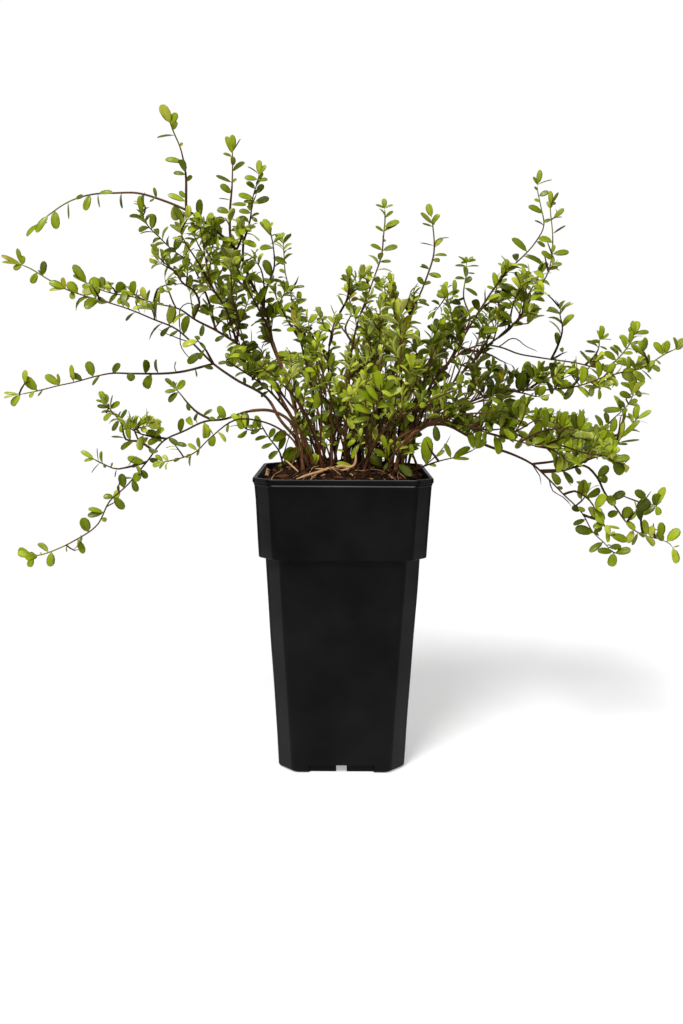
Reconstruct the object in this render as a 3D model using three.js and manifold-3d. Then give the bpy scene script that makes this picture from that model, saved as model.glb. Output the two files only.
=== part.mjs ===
import * as THREE from 'three';
import Module from 'manifold-3d';

const wasm = await Module();
wasm.setup();
const { Manifold, Mesh: SolidMesh } = wasm;

// Clearances in millimetres
const GAP = 0.3;
const CLEAR = 0.35;

// Pot: a tall square nursery pot with cut corners and a wider collar
const POT_HEIGHT = 181;
const POT_CORNER = 10;
const POT_WALL = 1.3;
const FOOT_WIDTH = 77.7;
const FOOT_BEVEL = 0.5;
const BODY_TOP_WIDTH = 91.3;
const BODY_TOP_Z = 133;
const COLLAR_STEP = 0.7;
const COLLAR_FOOT_WIDTH = 98.6;
const COLLAR_TOP_WIDTH = 103.2;
const RIDGE_Z = 176.4;
const RIDGE_HEIGHT = 1;
const RIDGE_OUT = 0.45;
const LIP_Z = 178.3;
const LIP_WIDTH = 105;
const LIP_EDGE = 0.5;
const MOUTH_WIDTH = 100.6;
const FLOOR_Z = 6.6;
const FOOT_RECESS = 5.2;
const NOTCH_WIDTH = 40;
const NOTCH_DEPTH = 3.2;
const CHANNEL_WIDTH = 6.4;
const DRAIN_RADIUS = 2.3;
const DRAIN_OFFSET = 22;
const DRAIN_SIDES = 10;
const DRAIN_PLACES = [[0, 0], [1, 0], [0, 1], [-1, 0], [0, -1]];
const POT_SIDES = 4;

// Growing medium, mounded up round the stems
const SOIL_EDGE_Z = 174.5;
const SOIL_SHOULDER_Z = 180;
const SOIL_SHOULDER_WIDTH = 91;
const SOIL_SHOULDER_CORNER = 17;
const SOIL_TOP_Z = 183;
const SOIL_TOP_WIDTH = 80;
const SOIL_TOP_CORNER = 22;

// Shoots
const STEM_SIDES = 5;
const STEM_STEP = 24;
const TWIG_SIDES = 3;
const TWIG_STEP = 22;
const TWIG_FLARE = 1.2;
const LIMB_BODY_SIDES = 6;
const BODY_SWELL = 1.3;
const TIP_RADIUS = 0.5;
const SIDE_RADIUS = 0.62;
const BRANCH_RADIUS = 0.8;
const TAPER = 0.8;
const SEED_STEP = 7919;

// Leaf blade: outline as shares of its length and width, and the raised middle
const LEAF_OUTLINE = [[0, 0], [0.46, -0.5], [0.93, -0.24], [0.93, 0.24], [0.46, 0.5]];
const LEAF_MIDDLE = 0.5;
const LEAF_FACES = [2, 1, 3, 1, 4, 3, 1, 0, 4, 0, 1, 5, 1, 2, 5, 2, 3, 5, 3, 4, 5, 4, 0, 5];
const LEAF_WIDTH = 0.56;
const LEAF_THICKNESS = 0.9;
const LEAF_SHANK = 0.5;
const LEAF_SINK = 0.15;
const FACE_UP = 0.5;
const FACE_ALONG = 0.8;

// Leaves along a twig, with turns in degrees that follow its three flat sides
const THIRD = 120;
const FACE_TURN = 60;
const TURN_JITTER = 50;
const LEAF_STEP = 0.85;
const LEAF_SPREAD = 58;
const SPREAD_JITTER = 16;
const SIZE_JITTER = 0.24;
const LEAF_ROLL = 38;
const ROLL_JITTER = 50;
const FIRST_LEAF = 0.6;
const FIRST_BRANCH_LEAF = 0.9;

// The rosette that closes each twig
const LAST_LEAF = 0.85;
const LAST_SINK = 0.5;
const LAST_SPREAD = 8;
const LAST_ROLL = 25;
const ROSETTE_LEAVES = 3;
const ROSETTE_STEP = 1.9;
const ROSETTE_START = 0.8;
const ROSETTE_SPREAD = 42;
const ROSETTE_SPREAD_JITTER = 12;
const ROSETTE_TURN_JITTER = 20;
const ROSETTE_SIZE = 0.95;
const ROSETTE_SIZE_JITTER = 0.2;
const ROSETTE_ROLL_JITTER = 30;

// Side twigs: place along the shoot, length, lean to the side and lift
const TWIG_PITCH = 26;
const TWIG_ZONE = 0.8;
const TWIG_START = 0.04;
const TWIG_PLACE = 0.55;
const TWIG_STAGGER = 0.5;
const TWIG_LONGEST = 1.1;
const TWIG_SHRINK = 0.5;
const TWIG_VARY = 0.5;
const TWIG_FORWARD = 0.6;
const TWIG_LEAN = 0.6;
const TWIG_LEAN_JITTER = 0.5;
const TWIG_LIFT = 0.65;
const TWIG_LIFT_JITTER = 0.4;
const TWIG_BEND = 0.55;
const TWIG_END = 0.3;
const TWIG_TURN_UP = 0.25;

// Colours
const POT_COLOUR = 0x1d1d1c;
const SOIL_COLOUR = 0x2c2019;
const BARK_COLOUR = 0x5f4030;
const LEAF_COLOURS = [0x5f8a1e, 0x4e7a1c, 0x7c9f2a, 0x6a9426];

const UP = new THREE.Vector3(0, 0, 1);
const AXES = [new THREE.Vector3(1, 0, 0), new THREE.Vector3(0, 1, 0), UP];

// Shoots that rise from the soil. foot: x, y on the mound. tip: x, y, z of the last leaf.
// rise and end: slope in degrees and pull in millimetres at the foot and at the tip.
// bare: leafless share. thick: radius at the foot. bush: length of side twigs. leaf: leaf length.
const SHOOTS = [
  { name: 'left_arch', foot: [-22, 6], tip: [-194, 12, 323], rise: [80, 165], end: [-45, 85],
    bare: 0.27, thick: 2.3, bush: 0, leaf: 14 },
  { name: 'left_long', foot: [-29, -3], tip: [-205, -15, 306], rise: [68, 75], end: [20, 60],
    bare: 0.2, thick: 1.5, bush: 0, leaf: 14.5 },
  { name: 'left_low', foot: [-24, -13], tip: [-195, -30, 131], rise: [75, 105], end: [-12, 70],
    bare: 0.24, thick: 1.5, bush: 0, leaf: 14 },
  { name: 'left_back', foot: [-19, 15], tip: [-174, 42, 302], rise: [72, 85], end: [18, 50],
    bare: 0.25, thick: 1.8, bush: 16, leaf: 16 },
  { name: 'left_thin', foot: [-33, -14], tip: [-112, -44, 188], rise: [75, 60], end: [-20, 35],
    bare: 0.33, thick: 1.0, bush: 0, leaf: 10.5 },
  { name: 'left_centre', foot: [-12, 11], tip: [-38, 12, 325], rise: [85, 45], end: [85, 45],
    bare: 0.28, thick: 1.3, bush: 14, leaf: 15 },
  { name: 'centre_tall', foot: [1, 9], tip: [24, 20, 348], rise: [88, 70], end: [90, 50],
    bare: 0.28, thick: 1.4, bush: 15, leaf: 15 },
  { name: 'centre_front', foot: [-7, -2], tip: [15, -30, 302], rise: [100, 70], end: [50, 25],
    bare: 0.34, thick: 1.2, bush: 16, leaf: 15 },
  { name: 'right_centre', foot: [18, -2], tip: [49, -20, 337], rise: [78, 60], end: [100, 35],
    bare: 0.28, thick: 1.4, bush: 15, leaf: 15 },
  { name: 'right_inner', foot: [13, 13], tip: [79, 45, 316], rise: [65, 70], end: [88, 30],
    bare: 0.32, thick: 1.3, bush: 16, leaf: 15 },
  { name: 'right_tall_back', foot: [30, 8], tip: [120, 30, 366], rise: [60, 85], end: [95, 40],
    bare: 0.28, thick: 1.4, bush: 15, leaf: 15 },
  { name: 'right_tall', foot: [36, -2], tip: [124, -4, 350], rise: [50, 65], end: [90, 50],
    bare: 0.25, thick: 1.4, bush: 14, leaf: 15 },
  { name: 'right_upper', foot: [27, -7], tip: [182, 20, 274], rise: [62, 125], end: [75, 50],
    bare: 0.28, thick: 1.4, bush: 8, leaf: 15 },
  { name: 'right_long', foot: [35, -9], tip: [207, -20, 262], rise: [45, 60], end: [30, 45],
    bare: 0.2, thick: 1.4, bush: 8, leaf: 15 },
  { name: 'right_back', foot: [34, 14], tip: [195, 45, 239], rise: [50, 45], end: [65, 60],
    bare: 0.2, thick: 1.4, bush: 14, leaf: 16.5 },
  { name: 'right_low', foot: [31, -18], tip: [159, -35, 127], rise: [60, 60], end: [-70, 50],
    bare: 0.18, thick: 1.8, bush: 12, leaf: 16.5 },
  { name: 'right_front', foot: [23, -21], tip: [118, -70, 205], rise: [50, 40], end: [10, 25],
    bare: 0.3, thick: 1.1, bush: 12, leaf: 15 },
  { name: 'back_left', foot: [-14, 23], tip: [-112, 95, 262], rise: [70, 60], end: [10, 40],
    bare: 0.3, thick: 1.3, bush: 14, leaf: 16 },
  { name: 'back_centre', foot: [-4, 18], tip: [-45, 142, 250], rise: [75, 60], end: [5, 45],
    bare: 0.3, thick: 1.3, bush: 14, leaf: 16 },
  { name: 'back_tall', foot: [6, 22], tip: [22, 118, 298], rise: [78, 60], end: [45, 40],
    bare: 0.3, thick: 1.3, bush: 14, leaf: 16 },
  { name: 'back_right', foot: [16, 22], tip: [75, 128, 245], rise: [70, 55], end: [5, 40],
    bare: 0.3, thick: 1.3, bush: 14, leaf: 16 },
  { name: 'back_far_right', foot: [26, 20], tip: [134, 92, 232], rise: [60, 50], end: [20, 40],
    bare: 0.3, thick: 1.3, bush: 14, leaf: 16 },
  { name: 'front_left', foot: [-17, -10], tip: [-96, -82, 262], rise: [75, 60], end: [20, 30],
    bare: 0.3, thick: 1.2, bush: 12, leaf: 14 },
  { name: 'front_centre_left', foot: [-12, -22], tip: [-48, -122, 250], rise: [75, 50], end: [20, 35],
    bare: 0.3, thick: 1.2, bush: 12, leaf: 14 },
  { name: 'front_centre', foot: [1, -13], tip: [4, -140, 232], rise: [70, 50], end: [10, 40],
    bare: 0.3, thick: 1.2, bush: 12, leaf: 14 },
  { name: 'front_right', foot: [12, -23], tip: [62, -124, 238], rise: [65, 45], end: [20, 40],
    bare: 0.3, thick: 1.2, bush: 12, leaf: 14 },
  { name: 'front_far_right', foot: [17, -13], tip: [108, -92, 224], rise: [60, 50], end: [10, 35],
    bare: 0.3, thick: 1.2, bush: 12, leaf: 14 },
];

// Short leafy shoots with no bare stem, from the soil
const FOOT_SHOOTS = [
  { name: 'left_foot', foot: [-36, -6], tip: [-53, -27, 218], rise: [45, 14], end: [70, 14],
    bare: 0, thick: 0.9, bush: 0, leaf: 11 },
  { name: 'front_rosette', foot: [3, -24], tip: [18, -76, 243], rise: [75, 30], end: [60, 25],
    bare: 0, thick: 0.9, bush: 10, leaf: 14 },
  { name: 'right_foot', foot: [38, -14], tip: [86, -32, 202], rise: [35, 20], end: [40, 20],
    bare: 0, thick: 0.9, bush: 0, leaf: 11 },
];

// Branches that grow from another shoot, at a share of its length
const BRANCHES = [
  { from: 'left_arch', at: 0.3, tip: [-66, -28, 313], rise: [60, 12], end: [80, 12] },
  { from: 'left_arch', at: 0.33, tip: [-41, -38, 326], rise: [60, 20], end: [85, 15] },
  { from: 'left_arch', at: 0.46, tip: [-50, -10, 364], rise: [55, 18], end: [88, 20] },
  { from: 'left_arch', at: 0.52, tip: [-70, 30, 385], rise: [70, 20], end: [88, 20] },
  { from: 'left_arch', at: 0.61, tip: [-111, 20, 400], rise: [80, 20], end: [70, 20] },
  { from: 'left_back', at: 0.34, tip: [-85, -16, 336], rise: [75, 25], end: [80, 20] },
  { from: 'left_back', at: 0.38, tip: [-130, 28, 350], rise: [75, 25], end: [50, 30] },
  { from: 'left_back', at: 0.48, tip: [-113, 2, 318], rise: [70, 15], end: [50, 15] },
  { from: 'left_back', at: 0.44, tip: [-86, 60, 312], rise: [60, 15], end: [80, 15] },
  { from: 'left_long', at: 0.41, tip: [-193, -48, 226], rise: [-5, 40], end: [-18, 40] },
  { from: 'left_low', at: 0.4, tip: [-108, -10, 237], rise: [50, 12], end: [40, 12] },
  { from: 'left_low', at: 0.48, tip: [-130, -40, 216], rise: [10, 14], end: [60, 12] },
  { from: 'left_low', at: 0.53, tip: [-146, -20, 229], rise: [15, 15], end: [60, 18] },
  { from: 'left_low', at: 0.62, tip: [-154, -34, 194], rise: [-5, 14], end: [30, 12] },
  { from: 'centre_front', at: 0.55, tip: [-32, -34, 276], rise: [40, 12], end: [80, 12] },
  { from: 'centre_front', at: 0.7, tip: [-15, -60, 275], rise: [20, 15], end: [50, 15] },
  { from: 'right_centre', at: 0.48, tip: [64, -52, 268], rise: [40, 12], end: [80, 12] },
  { from: 'right_centre', at: 0.6, tip: [24, -52, 290], rise: [40, 12], end: [80, 12] },
  { from: 'centre_tall', at: 0.4, tip: [-12, 44, 282], rise: [50, 14], end: [80, 14] },
  { from: 'centre_tall', at: 0.54, tip: [26, 58, 303], rise: [50, 20], end: [80, 20] },
  { from: 'right_inner', at: 0.7, tip: [69, 72, 297], rise: [50, 15], end: [70, 15] },
  { from: 'right_inner', at: 0.6, tip: [62, 6, 294], rise: [60, 15], end: [80, 12] },
  { from: 'right_tall', at: 0.53, tip: [88, -30, 299], rise: [60, 10], end: [85, 10] },
  { from: 'right_tall_back', at: 0.64, tip: [104, 46, 317], rise: [60, 10], end: [85, 10] },
  { from: 'right_upper', at: 0.56, tip: [118, 36, 270], rise: [30, 12], end: [60, 10] },
  { from: 'right_upper', at: 0.65, tip: [127, -25, 283], rise: [70, 12], end: [90, 10] },
  { from: 'right_upper', at: 0.79, tip: [163, 22, 270], rise: [70, 8], end: [85, 8] },
  { from: 'right_front', at: 0.58, tip: [86, -66, 220], rise: [70, 8], end: [80, 8] },
  { from: 'right_back', at: 0.51, tip: [142, 38, 219], rise: [60, 8], end: [80, 8] },
  { from: 'right_back', at: 0.59, tip: [160, 52, 214], rise: [50, 8], end: [80, 8] },
  { from: 'right_back', at: 0.46, tip: [142, 6, 196], rise: [-10, 8], end: [10, 8] },
  { from: 'right_back', at: 0.63, tip: [168, 14, 190], rise: [-10, 12], end: [20, 10] },
  { from: 'right_back', at: 0.79, tip: [205, 45, 217], rise: [20, 10], end: [40, 10] },
  { from: 'right_low', at: 0.49, tip: [205, -10, 125], rise: [-5, 35], end: [-40, 35] },
  { from: 'right_low', at: 0.45, tip: [200, 8, 171], rise: [-10, 40], end: [30, 20] },
  { from: 'right_low', at: 0.62, tip: [182, -28, 148], rise: [-10, 14], end: [-20, 14] },
  { from: 'right_low', at: 0.53, tip: [171, -12, 169], rise: [10, 20], end: [20, 20] },
  { from: 'right_low', at: 0.36, tip: [142, -30, 205], rise: [20, 20], end: [10, 20] },
  { from: 'right_low', at: 0.74, tip: [164, -56, 132], rise: [-40, 12], end: [-50, 12] },
  { from: 'right_long', at: 0.42, tip: [116, -50, 232], rise: [20, 12], end: [50, 12] },
  { from: 'left_centre', at: 0.46, tip: [-64, 16, 287], rise: [50, 14], end: [80, 12] },
  { from: 'centre_tall', at: 0.33, tip: [30, -4, 264], rise: [50, 12], end: [80, 12] },
];

function randomStream(seed) {
  let state = seed >>> 0;
  return () => {
    state = (state + 0x6d2b79f5) >>> 0;
    let mixed = state;
    mixed = Math.imul(mixed ^ (mixed >>> 15), mixed | 1);
    mixed ^= mixed + Math.imul(mixed ^ (mixed >>> 7), mixed | 61);
    return ((mixed ^ (mixed >>> 14)) >>> 0) / 4294967296;
  };
}

function vary(random, middle, range) {
  return middle + range * (random() - 0.5);
}

function radians(degrees) {
  return THREE.MathUtils.degToRad(degrees);
}

// A solid skinned over rings of equal count, with flat fans closing both ends
function skin(rings) {
  const count = rings[0].length;
  const points = rings.flat();
  const faces = [];
  for (let r = 0; r + 1 < rings.length; r += 1) {
    for (let i = 0; i < count; i += 1) {
      const a = r * count + i;
      const b = r * count + ((i + 1) % count);
      faces.push(a, b, b + count, a, b + count, a + count);
    }
  }
  const last = (rings.length - 1) * count;
  for (let i = 1; i + 1 < count; i += 1) {
    faces.push(0, i + 1, i);
    faces.push(last, last + i, last + i + 1);
  }
  return solid(points, faces);
}

function solid(points, faces) {
  const vertProperties = new Float32Array(points.flatMap((p) => [p.x, p.y, p.z]));
  const triVerts = new Uint32Array(faces);
  return new Manifold(new SolidMesh({ numProp: 3, vertProperties, triVerts }));
}

function fromGeometry(geometry, x, y, z) {
  geometry.translate(x, y, z);
  const position = geometry.getAttribute('position');
  const index = geometry.getIndex();
  const mesh = new SolidMesh({
    numProp: 3,
    vertProperties: new Float32Array(position.array),
    triVerts: new Uint32Array(index.array),
  });
  mesh.merge();
  return new Manifold(mesh);
}

function toMesh(manifold, name, colour, roughness) {
  const data = manifold.getMesh();
  const geometry = new THREE.BufferGeometry();
  const position = new THREE.BufferAttribute(new Float32Array(data.vertProperties), 3);
  geometry.setAttribute('position', position);
  geometry.setIndex(new THREE.BufferAttribute(new Uint32Array(data.triVerts), 1));
  geometry.computeVertexNormals();
  const material = new THREE.MeshStandardMaterial({ color: colour, roughness, metalness: 0 });
  const mesh = new THREE.Mesh(geometry, material);
  mesh.name = name;
  return mesh;
}

// A square with cut corners at one height, counter-clockwise from above
function cutSquare(width, corner, z) {
  const half = width / 2;
  const inner = half - corner;
  const ring = [];
  for (const [x, y] of [[half, -inner], [half, inner]]) {
    ring.push(new THREE.Vector2(x, y));
  }
  const points = [];
  for (let side = 0; side < POT_SIDES; side += 1) {
    for (const p of ring) {
      const turned = p.clone().rotateAround(new THREE.Vector2(), (side * Math.PI) / 2);
      points.push(new THREE.Vector3(turned.x, turned.y, z));
    }
  }
  return points;
}

function buildPot() {
  const outside = skin([
    cutSquare(FOOT_WIDTH - 2 * FOOT_BEVEL, POT_CORNER, 0),
    cutSquare(FOOT_WIDTH, POT_CORNER, FOOT_BEVEL),
    cutSquare(BODY_TOP_WIDTH, POT_CORNER, BODY_TOP_Z),
    cutSquare(COLLAR_FOOT_WIDTH, POT_CORNER, BODY_TOP_Z + COLLAR_STEP),
    cutSquare(COLLAR_TOP_WIDTH, POT_CORNER, RIDGE_Z - RIDGE_HEIGHT / 2),
    cutSquare(COLLAR_TOP_WIDTH + 2 * RIDGE_OUT, POT_CORNER, RIDGE_Z),
    cutSquare(COLLAR_TOP_WIDTH, POT_CORNER, RIDGE_Z + RIDGE_HEIGHT),
    cutSquare(LIP_WIDTH, POT_CORNER, LIP_Z),
    cutSquare(LIP_WIDTH, POT_CORNER, POT_HEIGHT - LIP_EDGE),
    cutSquare(LIP_WIDTH - 2 * LIP_EDGE, POT_CORNER, POT_HEIGHT),
  ]);
  const inside = skin(cavityRings(0));
  const cuts = [inside];
  const channel = new THREE.BoxGeometry(LIP_WIDTH, CHANNEL_WIDTH, 2 * FOOT_RECESS);
  cuts.push(fromGeometry(channel, 0, 0, 0));
  cuts.push(fromGeometry(channel.clone().rotateZ(Math.PI / 2), 0, 0, 0));
  for (let side = 0; side < POT_SIDES; side += 1) {
    const angle = (side * Math.PI) / 2;
    const notch = new THREE.BoxGeometry(2 * NOTCH_DEPTH, NOTCH_WIDTH, 2 * FOOT_RECESS);
    notch.rotateZ(angle);
    const reach = FOOT_WIDTH / 2;
    cuts.push(fromGeometry(notch, reach * Math.cos(angle), reach * Math.sin(angle), 0));
  }
  for (const [x, y] of DRAIN_PLACES) {
    const drain = new THREE.CylinderGeometry(DRAIN_RADIUS, DRAIN_RADIUS, FLOOR_Z, DRAIN_SIDES);
    drain.rotateX(Math.PI / 2);
    cuts.push(fromGeometry(drain, x * DRAIN_OFFSET, y * DRAIN_OFFSET, FLOOR_Z));
  }
  return outside.subtract(Manifold.union(cuts));
}

// Rings of the pot's hollow, drawn in by a clearance for the medium that fills it
function cavityRings(clearance) {
  const corner = POT_CORNER - POT_WALL * (2 - Math.SQRT2);
  const draw = 2 * clearance;
  const wall = 2 * POT_WALL;
  const rings = [
    cutSquare(FOOT_WIDTH - wall - draw, corner, FLOOR_Z + clearance),
    cutSquare(BODY_TOP_WIDTH - wall - draw, corner, BODY_TOP_Z + POT_WALL + clearance),
    cutSquare(COLLAR_FOOT_WIDTH - wall - draw, corner, BODY_TOP_Z + COLLAR_STEP + POT_WALL + clearance),
  ];
  if (clearance > 0) {
    const share = (SOIL_EDGE_Z - BODY_TOP_Z) / (POT_HEIGHT - BODY_TOP_Z);
    const width = THREE.MathUtils.lerp(COLLAR_FOOT_WIDTH - wall, MOUTH_WIDTH, share);
    rings.push(cutSquare(width - draw - GAP, corner, SOIL_EDGE_Z));
    return rings;
  }
  rings.push(cutSquare(MOUTH_WIDTH, corner, POT_HEIGHT + 1));
  return rings;
}

function buildSoil() {
  return skin([
    ...cavityRings(GAP),
    cutSquare(SOIL_SHOULDER_WIDTH, SOIL_SHOULDER_CORNER, SOIL_SHOULDER_Z),
    cutSquare(SOIL_TOP_WIDTH, SOIL_TOP_CORNER, SOIL_TOP_Z),
  ]);
}

// A curve in the upright plane from a start to a tip
function shootCurve(start, tip, rise, end) {
  const bearing = new THREE.Vector3(tip.x - start.x, tip.y - start.y, 0).normalize();
  const leave = along(bearing, rise[0]).multiplyScalar(rise[1]).add(start);
  const arrive = tip.clone().sub(along(bearing, end[0]).multiplyScalar(end[1]));
  const curve = new THREE.CubicBezierCurve3(start, leave, arrive, tip);
  curve.side = new THREE.Vector3().crossVectors(UP, bearing).normalize();
  return curve;
}

function along(bearing, degrees) {
  const flat = bearing.clone().multiplyScalar(Math.cos(radians(degrees)));
  return flat.addScaledVector(UP, Math.sin(radians(degrees)));
}

// A tapering limb along part of a curve
function limb(curve, from, to, radiusFrom, radiusTo, sides, step) {
  const length = curve.getLength() * (to - from);
  const pieces = Math.max(1, Math.round(length / step));
  const rings = [];
  for (let i = 0; i <= pieces; i += 1) {
    const share = i / pieces;
    const t = THREE.MathUtils.lerp(from, to, share);
    const radius = THREE.MathUtils.lerp(radiusFrom, radiusTo, share);
    rings.push(limbRing(curve, t, radius, sides, t === 0 && curve.flatFoot));
  }
  return skin(rings);
}

function limbRing(curve, t, radius, sides, level) {
  const centre = curve.getPointAt(t);
  const tangent = level ? UP.clone() : curve.getTangentAt(t);
  const side = curve.side;
  const back = new THREE.Vector3().crossVectors(tangent, side).normalize();
  const ring = [];
  for (let i = 0; i < sides; i += 1) {
    const angle = (i / sides) * 2 * Math.PI;
    const p = centre.clone().addScaledVector(side, radius * Math.cos(angle));
    ring.push(p.addScaledVector(back, radius * Math.sin(angle)));
  }
  return ring;
}

// The blunt leaf: five outline points round a flat back, and a raised middle
function leafPoints(root, direction, normal, length, width) {
  const across = new THREE.Vector3().crossVectors(normal, direction).normalize();
  const at = (u, v, w) => root.clone()
    .addScaledVector(direction, u * length)
    .addScaledVector(across, v * width)
    .addScaledVector(normal, w);
  return [...LEAF_OUTLINE.map(([u, v]) => at(u, v, 0)), at(LEAF_MIDDLE, 0, LEAF_THICKNESS)];
}

// Room kept by each mass: convex bodies in a grid, tested against those of every other mass.
// Two leaves of one mass also keep off each other
const CELL = 14;
const grid = new Map();

function body(owner, points, axes, leaf) {
  const box = new THREE.Box3().setFromPoints(points);
  return { owner, points, axes, leaf, box, centre: box.getCenter(new THREE.Vector3()) };
}

function cellsOf(item) {
  const keys = [];
  const low = item.box.min.clone().subScalar(CLEAR).divideScalar(CELL).floor();
  const high = item.box.max.clone().addScalar(CLEAR).divideScalar(CELL).floor();
  for (let x = low.x; x <= high.x; x += 1) {
    for (let y = low.y; y <= high.y; y += 1) {
      for (let z = low.z; z <= high.z; z += 1) {
        keys.push(`${x},${y},${z}`);
      }
    }
  }
  return keys;
}

function claim(item) {
  for (const key of cellsOf(item)) {
    if (!grid.has(key)) {
      grid.set(key, []);
    }
    grid.get(key).push(item);
  }
}

function isFree(item) {
  for (const key of cellsOf(item)) {
    for (const other of grid.get(key) ?? []) {
      const same = other.owner === item.owner;
      if (same && !(item.leaf && other.leaf)) {
        continue;
      }
      if (!isApart(item, other, same ? 0 : CLEAR)) {
        return false;
      }
    }
  }
  return true;
}

// Two convex bodies are apart where some direction shows a clearance between them
function isApart(a, b, clear) {
  const tries = [b.centre.clone().sub(a.centre), ...a.axes, ...b.axes];
  for (const p of a.axes) {
    for (const q of b.axes) {
      tries.push(new THREE.Vector3().crossVectors(p, q));
    }
  }
  return tries.some((axis) => axis.lengthSq() > 1e-6 && showsGap(axis.normalize(), a, b, clear));
}

function showsGap(axis, a, b, clear) {
  const [lowA, highA] = spanOn(axis, a.points);
  const [lowB, highB] = spanOn(axis, b.points);
  return lowB - highA > clear || lowA - highB > clear;
}

function spanOn(axis, points) {
  let low = Infinity;
  let high = -Infinity;
  for (const p of points) {
    const reach = axis.dot(p);
    low = Math.min(low, reach);
    high = Math.max(high, reach);
  }
  return [low, high];
}

// Bodies round the lengths of a twig or limb, from its root to a share of its curve
function limbBodies(owner, curve, to, radius) {
  const pieces = Math.max(1, Math.round((curve.getLength() * to) / TWIG_STEP));
  const ringAt = (share) => {
    const swollen = BODY_SWELL * THREE.MathUtils.lerp(radius, TIP_RADIUS, share);
    return limbRing(curve, to * share, swollen, LIMB_BODY_SIDES, false);
  };
  const bodies = [];
  for (let i = 0; i < pieces; i += 1) {
    const points = [...ringAt(i / pieces), ...ringAt((i + 1) / pieces)];
    const tangent = curve.getTangentAt((to * (i + 0.5)) / pieces);
    const axes = [tangent, curve.side, tangent.clone().cross(curve.side)];
    bodies.push(body(owner, points, axes, false));
  }
  return bodies;
}

function vector(list) {
  return new THREE.Vector3(...list);
}

function radiusAt(thick, t) {
  return THREE.MathUtils.lerp(thick, TIP_RADIUS, Math.pow(t, TAPER));
}

// The pot and the mound take room first
const potEnds = [0, POT_HEIGHT].flatMap((z) => cutSquare(LIP_WIDTH, POT_CORNER, z));
claim(body('pot', potEnds, AXES, false));
const moundFoot = cutSquare(SOIL_SHOULDER_WIDTH, SOIL_SHOULDER_CORNER, SOIL_SHOULDER_Z);
const moundTop = cutSquare(SOIL_TOP_WIDTH, SOIL_TOP_CORNER, SOIL_TOP_Z);
claim(body('soil', [...moundFoot, ...moundTop], AXES, false));

// Then the limbs of every mass, so that leaves and twigs keep clear of them all
const masses = [];
const byName = new Map();

[...SHOOTS, ...FOOT_SHOOTS].forEach((shoot, index) => {
  const start = new THREE.Vector3(shoot.foot[0], shoot.foot[1], SOIL_TOP_Z + GAP);
  const curve = shootCurve(start, vector(shoot.tip), shoot.rise, shoot.end);
  curve.flatFoot = true;
  const stop = 1 - (LAST_LEAF * shoot.leaf) / curve.getLength();
  const { name, bare, thick, bush } = shoot;
  const random = randomStream(SEED_STEP * (index + 1));
  const leader = { curve, from: bare, to: stop, thick, bush, first: FIRST_LEAF, leader: true };
  const mass = { ...shoot, curve, random, solids: [], twigs: [leader] };
  limbBodies(name, curve, stop, thick).forEach(claim);
  masses.push(mass);
  byName.set(name, mass);
});

for (const branch of BRANCHES) {
  const mass = byName.get(branch.from);
  const curve = shootCurve(mass.curve.getPointAt(branch.at), vector(branch.tip), branch.rise, branch.end);
  const stop = 1 - (LAST_LEAF * mass.leaf) / curve.getLength();
  const first = FIRST_BRANCH_LEAF;
  mass.twigs.push({ curve, from: 0, to: stop, thick: BRANCH_RADIUS, bush: 0, first });
  limbBodies(mass.name, curve, stop, BRANCH_RADIUS).forEach(claim);
}

// Side twigs by the seeded rule: alternate sides, forward and upward, shorter along the shoot
function growTwigs(mass) {
  for (const twig of mass.twigs.filter((t) => t.bush > 0)) {
    const span = twig.curve.getLength() * (twig.to - twig.from) * TWIG_ZONE;
    const count = Math.floor(span / TWIG_PITCH);
    for (let k = 0; k < count; k += 1) {
      const curve = sideTwig(mass.random, twig, k, count);
      const room = limbBodies(mass.name, curve, 1, SIDE_RADIUS);
      if (room.every(isFree)) {
        room.forEach(claim);
        const first = FIRST_LEAF;
        mass.twigs.push({ curve, from: 0, to: 1, thick: SIDE_RADIUS, bush: 0, first, side: true });
      }
    }
  }
}

function sideTwig(random, twig, k, count) {
  const share = (k + vary(random, TWIG_PLACE, TWIG_STAGGER)) / count;
  const t = THREE.MathUtils.lerp(twig.from, twig.to, share * TWIG_ZONE + TWIG_START);
  const hand = k % 2 === 0 ? 1 : -1;
  const length = twig.bush * (TWIG_LONGEST - TWIG_SHRINK * share) * vary(random, 1, TWIG_VARY);
  const lean = vary(random, TWIG_LEAN, TWIG_LEAN_JITTER);
  const direction = twig.curve.getTangentAt(t).multiplyScalar(TWIG_FORWARD)
    .addScaledVector(twig.curve.side, hand * lean)
    .addScaledVector(UP, vary(random, TWIG_LIFT, TWIG_LIFT_JITTER))
    .normalize();
  const start = twig.curve.getPointAt(t);
  const middle = start.clone().addScaledVector(direction, TWIG_BEND * length);
  const tip = middle.clone().addScaledVector(direction, TWIG_END * length);
  tip.addScaledVector(UP, TWIG_TURN_UP * length);
  const curve = new THREE.QuadraticBezierCurve3(start, middle, tip);
  curve.side = new THREE.Vector3().crossVectors(direction, UP).normalize();
  return curve;
}

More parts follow.
